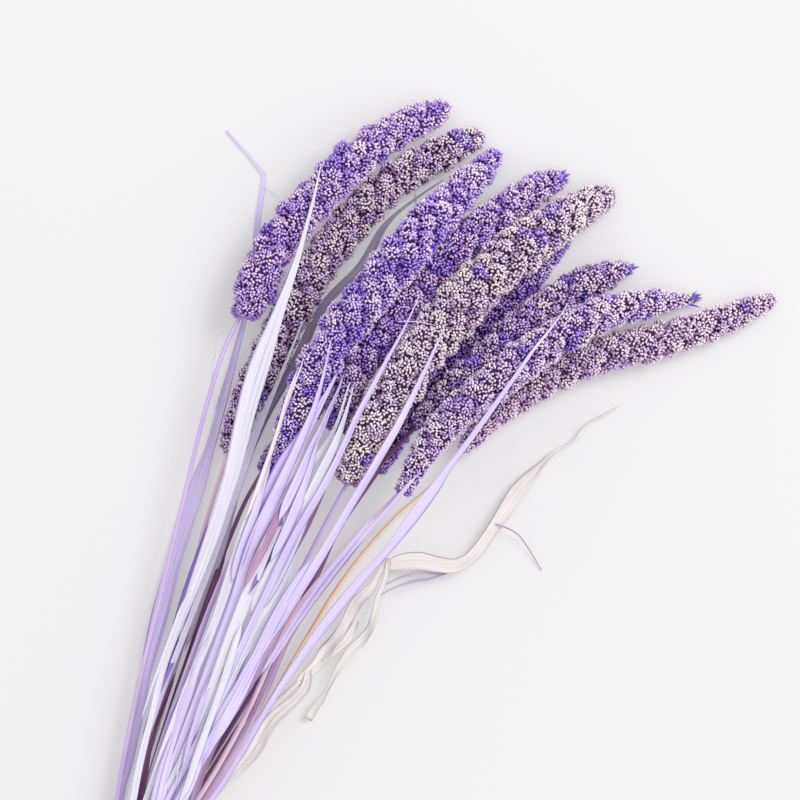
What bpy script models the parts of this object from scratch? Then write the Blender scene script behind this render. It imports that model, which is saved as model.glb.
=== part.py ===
"""Bundle of dried setaria: ten dyed seed heads on straw stems, dried blades, and their band.

It lies on a flat surface. +X runs from the cut ends to the tips, +Y to the left, +Z up.
Routes are in millimetres, seen from above, from the middle of the band.
"""

import math

import bmesh
import bpy
import numpy as np
from mathutils import Vector

MM = 0.001

# Straw
STEM_RADIUS = 1.9
STEM_RADIUS_AT_HEAD = 1.3
STEM_POINT_SPACING = 60.0
JOINT_SWELLING = 1.3
JOINT_HALF_LENGTH = 3.0
TAIL_LENGTH = 85.0
TAIL_STAGGER = 6.0
TAIL_SPREAD = 1.45

# Band of three turns round the stems
BAND_HALF_WIDTH = 4.5
BAND_THICKNESS = 1.4
BAND_GROOVE = 0.8
BAND_CLEARANCE = 0.7
BAND_SIDES = 22
BAND_TURNS = 3

# Seed heads
LOBES_ROUND = 5
LOBE_PITCH = 16.5
LOBE_RING = 0.6
LOBE_RING_HEIGHT = 0.935
LOBE_VALLEY = 0.71
LOBE_UNEVENNESS = 0.07
HEAD_END_LENGTH = 12.0
HEAD_END_RADIUS = 0.34
HEAD_BASE_RADIUS = 0.5
HEAD_PRESSED_FLAT = 2.0
HEAD_WIDEST_AT = 0.3
HEAD_SLIMMING = 1.6

# Blades: flat through the band and waved past it; the ribbon curls further out
BLADE_THICKNESS = 0.7
BLADE_WIDTH_IN_BAND = 3.2
BLADE_LEAST_WIDTH = 0.8
BLADE_WAVE = 0.5
WAVE_FROM = 110.0
BLADE_EDGE_WAVE = 0.07
BROAD_BLADE = 6.5
BROAD_BLADE_SPACING = 30.0
NARROW_BLADE_SPACING = 40.0
CURL_FROM = 200.0
CURL_ROOM = 1.8
CURL_TURN = 0.45
COMES_IN_OVER = 60.0

# Laying
STEP = 2.0
STRAIGHTNESS = 0.3
CLEARANCE = 0.75
CLEARANCE_OVER_HEAD = 0.45
FLOOR_CLEARANCE = 0.25
SMOOTHING_REACH = 9
SMOOTHING_ROUNDS = 10

# Each flower: its place across the band, how far its cut end stands out, the stem's route,
# the head's route from its base to its tip, its thickness, how much slimmer it is at the tip,
# how long its thinner base is, and its dye
FLOWERS = {
    1: dict(
        slot=9.0, cut=0.2, joint=137.0,
        stem=[(61, 31), (85, 40), (135, 57), (190, 74), (255, 94), (314, 111), (345, 117)],
        head=[(362, 118), (384, 119), (412, 119), (441, 115), (467, 109), (493, 102), (517, 90),
              (538, 75)],
        thickness=26.5, taper=0.26, thin_base=8.0, dye=(0.30, 0.19, 0.52),
    ),
    2: dict(
        slot=6.2, cut=-0.6, joint=150.0,
        stem=[(71, 25), (135, 43), (191, 58), (244, 73), (269, 79)],
        head=[(283, 82), (307, 87), (334, 90), (361, 93), (387, 95), (416, 95), (447, 92), (477, 85),
              (501, 73), (519, 61), (533, 48)],
        thickness=26.5, taper=0.32, thin_base=40.0, dye=(0.27, 0.17, 0.33),
    ),
    3: dict(
        slot=2.6, cut=0.7, joint=180.0,
        stem=[(71, 17), (135, 31), (194, 42), (239, 47), (272, 49)],
        head=[(294, 51), (318, 56), (345, 60), (373, 61), (396, 59), (422, 54), (450, 48), (478, 43),
              (507, 38), (529, 33)],
        thickness=26.5, taper=0.34, thin_base=30.0, dye=(0.27, 0.20, 0.50),
    ),
    4: dict(
        slot=0.0, cut=-0.2, joint=120.0,
        stem=[(60, 4), (110, 7), (161, 9), (230, 14), (295, 19), (311, 23)],
        head=[(330, 30), (353, 37), (379, 39), (404, 36), (432, 32), (460, 26), (485, 17), (510, 8),
              (537, -9)],
        thickness=25.5, taper=0.14, thin_base=20.0, dye=(0.24, 0.13, 0.48),
    ),
    5: dict(
        slot=-2.2, cut=0.9, joint=165.0,
        stem=[(60, 0), (120, 1), (180, 2), (250, 5), (285, 7)],
        head=[(305, 7), (328, 11), (353, 13), (380, 12), (409, 9), (439, 4), (469, -3), (495, -12),
              (521, -26), (544, -41)],
        thickness=29.5, taper=0.27, thin_base=25.0, dye=(0.36, 0.28, 0.44),
    ),
    6: dict(
        slot=-4.6, cut=-0.9, joint=175.0,
        stem=[(60, -6), (120, -7), (180, -8), (240, -6), (285, -1), (318, -3), (341, -7)],
        head=[(358, -11), (379, -17), (412, -26), (439, -34), (463, -43), (487, -55), (511, -74)],
        thickness=23.5, taper=0.22, thin_base=30.0, dye=(0.20, 0.11, 0.38),
    ),
    7: dict(
        slot=-7.6, cut=0.4, joint=142.0,
        stem=[(60, -11), (116, -13), (174, -9), (206, -5), (234, -6), (262, -11), (295, -18)],
        head=[(317, -24), (345, -23), (372, -27), (399, -36), (426, -47), (451, -60), (474, -76),
              (495, -96), (514, -119)],
        thickness=24.0, taper=0.36, thin_base=45.0, dye=(0.19, 0.11, 0.37),
    ),
    8: dict(
        slot=-10.2, cut=-0.4, joint=112.0,
        stem=[(60, -17), (102, -21), (146, -21), (194, -20), (252, -21), (300, -29), (337, -41)],
        head=[(359, -44), (376, -47), (398, -53), (422, -65), (448, -83), (473, -105), (496, -128),
              (519, -147), (540, -163)],
        thickness=24.0, taper=0.40, thin_base=50.0, dye=(0.36, 0.25, 0.44),
    ),
    9: dict(
        slot=4.4, cut=0.1, joint=190.0,
        stem=[(60, 15), (120, 29), (180, 43), (240, 54), (266, 57)],
        head=[(284, 57), (315, 55), (361, 48), (409, 40), (450, 31), (482, 22), (501, 14)],
        thickness=20.5, taper=0.30, thin_base=30.0, dye=(0.18, 0.10, 0.40),
    ),
    10: dict(
        slot=-6.4, cut=-0.1, joint=155.0,
        stem=[(60, -9), (120, -11), (180, -11), (240, -4), (280, -2), (305, -4)],
        head=[(321, -5), (342, -4), (363, -5), (382, -8), (402, -12), (437, -19), (464, -24), (484, -27),
              (505, -33)],
        thickness=25.0, taper=0.25, thin_base=75.0, dye=(0.20, 0.11, 0.42),
    ),
}

# Each blade: its place across the band and its route from the band to its tip, as
# (along, across, width)
BLADES = {
    "blade_between_heads": dict(
        slot=3.6, colour=(0.72, 0.66, 0.78),
        route=[(60, 20, 4), (140, 40, 4), (220, 58, 5), (300, 72, 5), (371, 76, 4.5), (398, 79, 4),
               (425, 70, 5), (464, 70, 4), (490, 59, 2), (508, 50, 1)],
    ),
    "blade_bent_left": dict(
        slot=7.8, colour=(0.62, 0.56, 0.80),
        route=[(61, 26, 4), (110, 45, 5), (159, 62, 8), (204, 76, 11), (249, 88, 8), (290, 97, 6),
               (326, 106, 4.5), (371, 120, 4), (414, 138, 4), (440, 149, 3.5), (450, 166, 2),
               (456, 186, 1)],
    ),
    "sheath_left": dict(
        slot=5.2, colour=(0.55, 0.45, 0.68),
        route=[(60, 20, 5), (110, 35, 6), (160, 50, 6), (205, 62, 5), (240, 69, 2)],
    ),
    "sheath_right": dict(
        slot=-8.8, colour=(0.62, 0.55, 0.76),
        route=[(60, -14, 5), (120, -17, 5), (174, -13, 5), (206, -9, 5), (240, -11, 6), (280, -17, 5),
               (300, -21, 2)],
    ),
    "sheath_centre": dict(
        slot=1.4, colour=(0.80, 0.77, 0.88),
        route=[(60, 10, 7), (110, 19, 11), (160, 27, 14), (205, 35, 14), (240, 37, 10), (270, 38, 6),
               (292, 38, 2)],
    ),
    "blade_low_left": dict(
        slot=6.0, colour=(0.68, 0.60, 0.84),
        route=[(60, 23, 3.5), (130, 40, 4), (200, 52, 4), (248, 61, 4.5), (301, 72, 4), (341, 78, 3),
               (377, 83, 1)],
    ),
    "blade_forked_left": dict(
        slot=2.0, colour=(0.82, 0.78, 0.90),
        route=[(60, 13, 3), (130, 26, 3.5), (198, 36, 4), (249, 48, 3.5), (291, 57, 3), (328, 65, 2),
               (355, 69, 1)],
    ),
    "blade_forked_middle": dict(
        slot=0.6, colour=(0.70, 0.62, 0.84),
        route=[(60, 7, 3), (130, 17, 3.5), (205, 30, 5), (258, 41, 5), (312, 45, 3.5), (345, 51, 2),
               (376, 61, 1)],
    ),
    "blade_forked_right": dict(
        slot=-1.0, colour=(0.74, 0.68, 0.86),
        route=[(60, 5, 3), (130, 12, 3), (210, 25, 4), (260, 34, 4.5), (300, 33, 3), (332, 31, 2),
               (359, 38, 1)],
    ),
    "blade_narrow_left": dict(
        slot=-2.8, colour=(0.76, 0.72, 0.90),
        route=[(60, 2, 3), (130, 7, 3.5), (200, 15, 4), (261, 21, 4.5), (315, 22, 4), (351, 25, 3.5),
               (387, 26, 2.5), (428, 28, 1)],
    ),
    "blade_narrow_right": dict(
        slot=-4.0, colour=(0.66, 0.60, 0.86),
        route=[(60, -3, 3), (133, 2, 4), (183, 3, 4.5), (248, 3, 5), (302, 2, 5), (340, 1, 4.5), (382, 3, 3.5),
               (418, 5, 1)],
    ),
    "blade_broad_white": dict(
        slot=4.0, colour=(0.84, 0.84, 0.92),
        route=[(60, 17, 4), (110, 37, 4), (149, 50, 5), (197, 58, 7), (242, 65, 9), (293, 78, 11.5),
               (341, 94, 12), (367, 100, 10), (410, 107, 7), (434, 112, 4.5), (467, 123, 1)],
    ),
    "blade_white_right": dict(
        slot=-9.6, colour=(0.86, 0.84, 0.88),
        route=[(60, -16, 3), (120, -22, 3.5), (188, -22, 4), (229, -26, 5.5), (277, -33, 6), (320, -37, 5),
               (364, -42, 4.5), (425, -49, 3), (456, -50, 2), (471, -53, 1)],
    ),
    "ribbon_curly": dict(
        slot=-11.6, colour=(0.80, 0.76, 0.80), curled=True,
        route=[(60, -19, 4), (112, -25, 5), (149, -26, 7.5), (173, -28, 10), (192, -30, 11), (215, -35, 11),
               (234, -39, 11), (254, -40, 10.5), (273, -42, 10), (288, -57, 9.5), (304, -78, 9),
               (326, -86, 9), (353, -88, 9), (373, -90, 7), (388, -97, 4.5), (410, -106, 2.5), (433, -115, 1)],
    ),
}

# From the bottom of the bundle to its top
LAYING_ORDER = [
    "blade_between_heads", "blade_bent_left", 9, 10, 6, 8, "ribbon_curly", "sheath_right",
    2, 1, 4, 3, 7, 5, "sheath_left", "sheath_centre", "blade_low_left", "blade_forked_left",
    "blade_forked_middle", "blade_forked_right", "blade_narrow_left", "blade_narrow_right",
    "blade_broad_white", "blade_white_right",
]


def clear_scene():
    for obj in list(bpy.data.objects):
        bpy.data.objects.remove(obj, do_unlink=True)


def make_material(name, colour, roughness):
    material = bpy.data.materials.new(name)
    material.use_nodes = True
    principled = material.node_tree.nodes["Principled BSDF"]
    principled.inputs["Base Color"].default_value = (*colour, 1.0)
    principled.inputs["Roughness"].default_value = roughness
    principled.inputs["Metallic"].default_value = 0.0
    return material


def add_object(name, data, collection, material):
    data.materials.append(material)
    obj = bpy.data.objects.new(name, data)
    collection.objects.link(obj)
    return obj


def smooth_route(points):
    """A smooth curve through hand-set points, read every STEP along it."""
    points = np.array(points, dtype=float)
    runs = np.linalg.norm(np.diff(points[:, :2], axis=0), axis=1)
    at_points = np.concatenate(([0.0], np.cumsum(runs)))
    slopes = np.diff(points, axis=0) / runs[:, None]
    before = runs[:-1, None]
    after = runs[1:, None]
    middle = (slopes[:-1] * after + slopes[1:] * before) / (before + after)
    tangents = np.vstack((slopes[:1], middle, slopes[-1:]))
    at = np.linspace(0.0, at_points[-1], int(at_points[-1] / STEP) + 1)
    k = np.clip(np.searchsorted(at_points, at, side="right") - 1, 0, len(runs) - 1)
    span = runs[k, None]
    t = (at[:, None] - at_points[k, None]) / span
    start = (1 + 2 * t) * (1 - t) ** 2 * points[k] + t * (1 - t) ** 2 * span * tangents[k]
    end = t * t * (3 - 2 * t) * points[k + 1] - t * t * (1 - t) * span * tangents[k + 1]
    return at, at_points, start + end


def through_band(slot, cut, *extra):
    """Points of the tail and of the straight run through the band."""
    tail_end = -TAIL_LENGTH + TAIL_STAGGER * cut
    return [
        (tail_end, slot * TAIL_SPREAD, *extra),
        (0.5 * tail_end, slot * (1 + TAIL_SPREAD) / 2, *extra),
        (-9.0, slot, *extra),
        (9.0, slot, *extra),
    ]


def head_radius(flower, along, length):
    """Radius over the lobes' tops: thinner at the base, widest at a third, slimmer to the tip."""
    to_tip = np.clip((along / length - HEAD_WIDEST_AT) / (1.0 - HEAD_WIDEST_AT), 0.0, 1.0)
    from_base = np.clip(along / flower["thin_base"], 0.0, 1.0)
    body = flower["thickness"] / 2 * (1.0 - flower["taper"] * to_tip ** HEAD_SLIMMING)
    body = body * (HEAD_BASE_RADIUS + (1.0 - HEAD_BASE_RADIUS) * np.sin(from_base * math.pi / 2))
    to_end = np.clip(np.minimum(along, length - along) / HEAD_END_LENGTH, 0.0, 1.0)
    close = np.sqrt(1.0 - (1.0 - to_end) ** 2)
    return body * (HEAD_END_RADIUS + (1.0 - HEAD_END_RADIUS) * close)


def stem_radius(along, base_at):
    """Straw is thicker at its cut end than under the head."""
    thinner = np.clip(along / base_at, 0.0, 1.0)
    return STEM_RADIUS + (STEM_RADIUS_AT_HEAD - STEM_RADIUS) * thinner


def taut_line(at, supports):
    """Straight runs over the highest supports, the way stiff straw lies over what is under it."""
    hull = []
    for point in zip(at, supports):
        while len(hull) > 1:
            (x0, z0), (x1, z1) = hull[-2:]
            if (z1 - z0) * (point[0] - x0) > (point[1] - z0) * (x1 - x0):
                break
            hull.pop()
        hull.append(point)
    return np.interp(at, [p[0] for p in hull], [p[1] for p in hull])


def comes_in(at, start):
    """From 0 to 1 over a short length of a blade, from a start counted from its cut end."""
    return np.clip((at - start) / COMES_IN_OVER, 0.0, 1.0)


def lay_down(pile, at, plan, radius, half_width, floor, over_heads):
    """Height of each point of a route that is laid on what the pile already holds."""
    support = floor + radius
    in_band = np.abs(plan[:, 0]) < BAND_HALF_WIDTH + 3.0
    support = np.where(in_band, radius + BAND_THICKNESS + BAND_CLEARANCE, support)
    for other in pile:
        apart = np.linalg.norm(plan[:, None, :] - other["plan"][None, :, :], axis=2)
        apart = np.maximum(apart - half_width[:, None] - other["half_width"][None, :], 0.0)
        gap = over_heads if other["is_head"] else CLEARANCE
        reach = radius[:, None] + other["radius"][None, :] + gap
        over = np.sqrt(np.maximum(reach ** 2 - apart ** 2, 0.0))
        needed = np.where(apart < reach, other["height"][None, :] + over, 0.0)
        support = np.maximum(support, needed.max(axis=1))
    at_band = int(np.abs(plan[:, 0]).argmin())
    tail = taut_line(at[:at_band], support[:at_band])
    height = np.concatenate((tail, taut_line(at[at_band:], support[at_band:])))
    kernel = np.ones(2 * SMOOTHING_REACH + 1) / (2 * SMOOTHING_REACH + 1)
    for _ in range(SMOOTHING_ROUNDS):
        padded = np.pad(height, SMOOTHING_REACH, mode="reflect", reflect_type="odd")
        height = np.maximum(np.convolve(padded, kernel, mode="valid"), support)
    return height


def lay_flower(pile, flower):
    stem = through_band(flower["slot"], flower["cut"]) + flower["stem"]
    at, at_points, plan = smooth_route(stem + flower["head"])
    base_at = at_points[len(stem)]
    length = at[-1] - base_at
    in_head = at >= base_at
    head = head_radius(flower, np.clip(at - base_at, 0.0, length), length)
    radius = np.where(in_head, head, stem_radius(at, base_at))
    floor = np.where(in_head, -HEAD_PRESSED_FLAT, FLOOR_CLEARANCE)
    flat = np.zeros(len(at))
    height = lay_down(pile, at, plan, radius, flat, floor, CLEARANCE_OVER_HEAD)
    for section, is_head in ((in_head, True), (~in_head, False)):
        pile.append(dict(
            plan=plan[section], height=height[section], radius=radius[section],
            half_width=flat[section], is_head=is_head,
        ))
    centre = np.column_stack((plan, height))
    return dict(at=at, centre=centre, base_at=base_at, length=length)


def lay_blade(pile, blade):
    at, _, route = smooth_route(through_band(blade["slot"], 0.0, BLADE_WIDTH_IN_BAND) + blade["route"])
    half_width = np.maximum(route[:, 2], BLADE_LEAST_WIDTH) / 2
    wave = BLADE_WAVE * comes_in(at, WAVE_FROM)
    curl = comes_in(at, CURL_FROM) if "curled" in blade else np.zeros(len(at))
    radius = BLADE_THICKNESS / 2 + wave + CURL_ROOM * curl
    floor = np.full(len(at), FLOOR_CLEARANCE)
    height = lay_down(pile, at, route[:, :2], radius, half_width, floor, CLEARANCE)
    pile.append(dict(
        plan=route[:, :2], height=height, radius=radius, half_width=half_width,
        is_head=False,
    ))
    centre = np.column_stack((route[:, :2], height))
    return dict(at=at, centre=centre, half_width=half_width, wave=wave, curl=curl)


def point_on(laid, at):
    return Vector([float(np.interp(at, laid["at"], laid["centre"][:, axis])) for axis in range(3)])


def few_stops(laid, last, spacing):
    """The fewest lengths whose straight runs stay within STRAIGHTNESS of the route."""
    count = max(round(last / spacing), 1)
    stops = [last * k / count for k in range(count + 1)]
    inside = laid["at"] <= last
    at = laid["at"][inside]
    centre = laid["centre"][inside]
    while True:
        chords = np.column_stack([
            np.interp(at, stops, [point_on(laid, stop)[axis] for stop in stops]) for axis in range(3)])
        off = np.linalg.norm(centre - chords, axis=1)
        worst = int(off.argmax())
        if off[worst] < STRAIGHTNESS:
            return stops
        stops = sorted(stops + [float(at[worst])])


def frame_on(laid, at):
    """Centre, and the directions to the side and up, square to the route."""
    ahead = (point_on(laid, at + STEP) - point_on(laid, at - STEP)).normalized()
    side = Vector((0, 0, 1)).cross(ahead).normalized()
    return point_on(laid, at), side, ahead.cross(side)


def make_head(number, flower, laid, collection):
    """One closed relief: rows of domed lobes, each row turned half a lobe from the last."""
    rows = round(laid["length"] / LOBE_PITCH)
    pitch = laid["length"] / rows
    corners = 2 * LOBES_ROUND
    mesh = bmesh.new()

    def surface(along, turn, rise):
        """Vertex at a length from the base and at a turn counted in half lobes from straight down."""
        along = min(max(along, 0.0), laid["length"])
        centre, side, up = frame_on(laid, laid["base_at"] + along)
        angle = 2 * math.pi * turn / corners - math.pi / 2
        radius = float(head_radius(flower, np.array(along), laid["length"])) * rise
        point = centre + (side * math.cos(angle) + up * math.sin(angle)) * radius
        point.z = max(point.z, 0.0)
        return mesh.verts.new(point * MM)

    zigzags = []
    for row in range(rows + 1):
        ring = []
        for corner in range(corners):
            lean = -1 if (corner + row) % 2 == 0 else 1
            ring.append((row * pitch + lean * pitch / 6, corner))
        zigzags.append([(*spot, surface(*spot, LOBE_VALLEY)) for spot in ring])

    for row in range(rows):
        for lobe in range(LOBES_ROUND):
            middle = 2 * lobe + row % 2
            along = (row + 0.5) * pitch
            around = [zigzags[row][(middle + k) % corners] for k in (-1, 0, 1)]
            around += [zigzags[row + 1][(middle + k) % corners] for k in (1, 0, -1)]
            wobble = math.sin(7.3 * row + 2.9 * lobe + number)
            rise = 1.0 - LOBE_UNEVENNESS * (0.5 + 0.5 * wobble)
            top = surface(along, middle, rise)
            ring = []
            for spot in around:
                turn = (spot[1] - middle + LOBES_ROUND) % corners - LOBES_ROUND
                out = along + LOBE_RING * (spot[0] - along)
                ring.append(surface(out, middle + LOBE_RING * turn, rise * LOBE_RING_HEIGHT))
            for k in range(6):
                after = (k + 1) % 6
                mesh.faces.new((top, ring[k], ring[after]))
                mesh.faces.new((ring[k], around[k][2], around[after][2]))
                mesh.faces.new((ring[k], around[after][2], ring[after]))

    for zigzag, along, order in ((zigzags[0], 0.0, -1), (zigzags[-1], laid["length"], 1)):
        end = mesh.verts.new(point_on(laid, laid["base_at"] + along) * MM)
        for corner in range(corners):
            pair = (zigzag[corner][2], zigzag[(corner + 1) % corners][2])
            mesh.faces.new((end, *pair[::order]))

    bmesh.ops.recalc_face_normals(mesh, faces=mesh.faces)
    data = bpy.data.meshes.new(f"seed_head_{number}")
    mesh.to_mesh(data)
    mesh.free()
    data.shade_smooth()
    material = make_material(f"dyed_grain_{number}", flower["dye"], 0.6)
    return add_object(f"seed_head_{number}", data, collection, material)


def make_stem(number, flower, laid, collection):
    """A straw with one swollen joint, from its cut end to just under its head."""
    joint_at = flower["joint"] + TAIL_LENGTH
    stops = few_stops(laid, laid["base_at"] - 0.4, STEM_POINT_SPACING)
    stops = [stop for stop in stops if abs(stop - joint_at) > 2 * JOINT_HALF_LENGTH]
    stops += [joint_at + side * JOINT_HALF_LENGTH for side in (-1, 0, 1)]
    stops.sort()
    curve = bpy.data.curves.new(f"stem_{number}", "CURVE")
    curve.dimensions = "3D"
    curve.bevel_depth = STEM_RADIUS * MM
    curve.bevel_resolution = 1
    curve.use_fill_caps = True
    spline = curve.splines.new("POLY")
    spline.points.add(len(stops) - 1)
    for point, at in zip(spline.points, stops):
        point.co = (*(point_on(laid, at) * MM), 1.0)
        radius = float(stem_radius(np.array(at), laid["base_at"]))
        if at == joint_at:
            radius *= JOINT_SWELLING
        point.radius = radius / STEM_RADIUS
    material = make_material(f"dyed_straw_{number}", (0.52, 0.42, 0.60), 0.55)
    return add_object(f"stem_{number}", curve, collection, material)


def make_blade(name, blade, laid, collection):
    """A strip with waved edges, raised along its rib where it is broad."""
    length = laid["at"][-1]
    broad = laid["half_width"].max() * 2 > BROAD_BLADE
    stops = few_stops(laid, length, BROAD_BLADE_SPACING if broad else NARROW_BLADE_SPACING)
    lanes = (-1, 0, 1) if broad else (-1, 1)
    mesh = bmesh.new()
    rows = []
    for station, at in enumerate(stops):
        centre, side, up = frame_on(laid, at)
        half_width = float(np.interp(at, laid["at"], laid["half_width"]))
        half_width *= 1.0 - BLADE_EDGE_WAVE * (1 + math.sin(2.3 * station + len(name)))
        wave = float(np.interp(at, laid["at"], laid["wave"]))
        roll = CURL_TURN * float(np.interp(at, laid["at"], laid["curl"])) * math.sin(1.9 * station)
        row = []
        for lane in lanes:
            across = side * math.cos(roll) + up * math.sin(roll)
            lift = 0.6 * wave * (1 - abs(lane)) + 0.4 * wave * lane * math.sin(1.3 * station)
            point = centre + across * lane * half_width + up * lift
            row.append(mesh.verts.new(point * MM))
        rows.append(row)
    for row, ahead in zip(rows, rows[1:]):
        for k in range(len(lanes) - 1):
            mesh.faces.new((row[k], ahead[k], ahead[k + 1]))
            mesh.faces.new((row[k], ahead[k + 1], row[k + 1]))
    bmesh.ops.recalc_face_normals(mesh, faces=mesh.faces)
    data = bpy.data.meshes.new(name)
    mesh.to_mesh(data)
    mesh.free()
    obj = add_object(name, data, collection, make_material(f"dry_leaf_{name}", blade["colour"], 0.5))
    solidify = obj.modifiers.new("thickness", "SOLIDIFY")
    solidify.thickness = BLADE_THICKNESS * MM
    solidify.offset = 0.0
    return obj


def outline_in_band(pile):
    """Convex outline, seen along the stems, of everything that passes through the band."""
    spots = []
    for other in pile:
        places = zip(other["plan"], other["height"], other["radius"], other["half_width"])
        for (x, y), z, radius, flat in places:
            if abs(x) > BAND_HALF_WIDTH + 2.0:
                continue
            for k in range(24):
                angle = 2 * math.pi * k / 24
                across = math.copysign(flat, math.cos(angle))
                spots.append((y + across + radius * math.cos(angle), z + radius * math.sin(angle)))
    spots.sort()
    outline = []
    for ordered in (spots, spots[::-1]):
        chain = []
        for spot in ordered:
            while len(chain) > 1:
                (x0, z0), (x1, z1) = chain[-2:]
                if (x1 - x0) * (spot[1] - z0) - (z1 - z0) * (spot[0] - x0) > 0:
                    break
                chain.pop()
            chain.append(spot)
        outline += chain[:-1]
    return outline


def even_ring(outline, count):
    """Points at even distances round a closed outline."""
    closed = np.array(outline + outline[:1])
    runs = np.concatenate(([0.0], np.cumsum(np.linalg.norm(np.diff(closed, axis=0), axis=1))))
    stops = np.linspace(0.0, runs[-1], count, endpoint=False)
    return np.column_stack([np.interp(stops, runs, closed[:, axis]) for axis in (0, 1)])


def make_band(pile, collection):
    """Three turns wound side by side, drawn tight round the stems, as one closed ring."""
    ring = even_ring(outline_in_band(pile), BAND_SIDES)
    tangent = np.roll(ring, -1, axis=0) - np.roll(ring, 1, axis=0)
    outward = np.column_stack((tangent[:, 1], -tangent[:, 0]))
    outward /= np.linalg.norm(outward, axis=1)[:, None]
    profile = [(-BAND_HALF_WIDTH, 0.0)]
    steps = 2 * BAND_TURNS + 1
    for k in range(steps):
        x = BAND_HALF_WIDTH * (2 * k / (steps - 1) - 1)
        height = BAND_THICKNESS if k % 2 else BAND_THICKNESS - BAND_GROOVE
        profile.append((x, height))
    profile.append((BAND_HALF_WIDTH, 0.0))
    mesh = bmesh.new()
    sections = []
    for spot, out in zip(ring, outward):
        section = []
        for x, height in profile:
            y, z = spot + out * (BAND_CLEARANCE + height)
            section.append(mesh.verts.new(Vector((x, y, max(z, 0.0))) * MM))
        sections.append(section)
    for section, ahead in zip(sections, sections[1:] + sections[:1]):
        for k in range(len(profile)):
            after = (k + 1) % len(profile)
            mesh.faces.new((section[k], section[after], ahead[after], ahead[k]))
    bmesh.ops.recalc_face_normals(mesh, faces=mesh.faces)
    data = bpy.data.meshes.new("band")
    mesh.to_mesh(data)
    mesh.free()
    return add_object("band", data, collection, make_material("natural_band", (0.62, 0.50, 0.34), 0.7))


def stand_in_the_middle(collection):
    """Parent every piece to one empty, and set it so the origin is under the middle of the bundle."""
    bpy.context.view_layer.update()
    graph = bpy.context.evaluated_depsgraph_get()
    spots = []
    for obj in collection.objects:
        evaluated = obj.evaluated_get(graph)
        spots += [vertex.co.copy() for vertex in evaluated.to_mesh().vertices]
        evaluated.to_mesh_clear()
    low = Vector([min(spot[axis] for spot in spots) for axis in range(3)])
    high = Vector([max(spot[axis] for spot in spots) for axis in range(3)])
    middle = bpy.data.objects.new("bundle_middle", None)
    for obj in collection.objects:
        obj.parent = middle
    collection.objects.link(middle)
    middle.location = (-(low.x + high.x) / 2, -(low.y + high.y) / 2, -low.z)


def main():
    clear_scene()
    collection = bpy.data.collections.new("dried_setaria_bundle")
    bpy.context.scene.collection.children.link(collection)
    pile = []
    for key in LAYING_ORDER:
        if key in FLOWERS:
            laid = lay_flower(pile, FLOWERS[key])
            make_stem(key, FLOWERS[key], laid, collection)
            make_head(key, FLOWERS[key], laid, collection)
        else:
            make_blade(key, BLADES[key], lay_blade(pile, BLADES[key]), collection)
    make_band(pile, collection)
    stand_in_the_middle(collection)


main()
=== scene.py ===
"""Bundle of dyed, dried setaria lying on a pale table, seen from straight above.

Metres. +X runs from the cut ends to the tips, +Y to the left, +Z up. Routes are in millimetres.
"""

import math

import bpy
import numpy as np
from mathutils import Matrix, Vector, noise
from mathutils.bvhtree import BVHTree
from mathutils.kdtree import KDTree


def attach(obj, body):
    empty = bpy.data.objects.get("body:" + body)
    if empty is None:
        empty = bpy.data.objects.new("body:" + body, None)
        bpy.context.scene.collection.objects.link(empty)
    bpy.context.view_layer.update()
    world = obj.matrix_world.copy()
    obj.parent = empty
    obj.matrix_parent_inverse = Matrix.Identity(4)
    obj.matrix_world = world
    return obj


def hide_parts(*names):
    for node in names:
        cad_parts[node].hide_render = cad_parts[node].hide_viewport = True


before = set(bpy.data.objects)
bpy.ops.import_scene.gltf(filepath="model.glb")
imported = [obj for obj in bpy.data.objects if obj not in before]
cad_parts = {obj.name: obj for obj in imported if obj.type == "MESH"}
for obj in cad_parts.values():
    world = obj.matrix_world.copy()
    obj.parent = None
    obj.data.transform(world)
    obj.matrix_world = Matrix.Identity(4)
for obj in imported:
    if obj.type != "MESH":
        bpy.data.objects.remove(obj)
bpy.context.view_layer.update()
MM = 0.001


# The table: a smooth pale board, much larger than the bundle, with no edge in sight. It is lit
# by a wide soft lamp beyond the tips and by the white room, and it glows a little: painted light
# that lifts the shadows round and between the heads.
def dye(red, green, blue):
    """A colour as a dyer's chart gives it, 0 to 255, in the linear values that shaders take."""
    return tuple(((c / 255 + 0.055) / 1.055) ** 2.4 if c > 10 else c / 3295 for c in (red, green, blue))


def make_material(name, colour, roughness):
    """A material, its node tree and its Principled shader."""
    material = bpy.data.materials.new(name)
    material.use_nodes = True
    shader = material.node_tree.nodes["Principled BSDF"]
    shader.inputs["Base Color"].default_value = (*colour, 1.0)
    shader.inputs["Roughness"].default_value = roughness
    return material, material.node_tree, shader


table_mesh = bpy.data.meshes.new("table")
table_mesh.from_pydata([(-6, -6, 0), (6, -6, 0), (6, 6, 0), (-6, 6, 0)], [], [(0, 1, 2, 3)])
table = bpy.data.objects.new("table", table_mesh)
bpy.context.scene.collection.objects.link(table)
board, _, board_shader = make_material("pale_board_painted_glow", dye(197, 197, 198), 0.75)
# The board's glow is painted light: it lightens the shade round and between the heads.
board_shader.inputs["Emission Color"].default_value = (1.0, 1.0, 1.0, 1.0)
board_shader.inputs["Emission Strength"].default_value = 0.28
table_mesh.materials.append(board)

lamp_data = bpy.data.lights.new("window", "AREA")
lamp_data.shape = "SQUARE"
lamp_data.size = 2.6
lamp_data.energy = 140.0
lamp = bpy.data.objects.new("window", lamp_data)
lamp.location = (3.5, -1.5, 3.8)
lamp.rotation_euler = (Vector((0.1, 0.0, 0.0)) - lamp.location).to_track_quat("-Z", "Y").to_euler()
bpy.context.scene.collection.objects.link(lamp)

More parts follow.
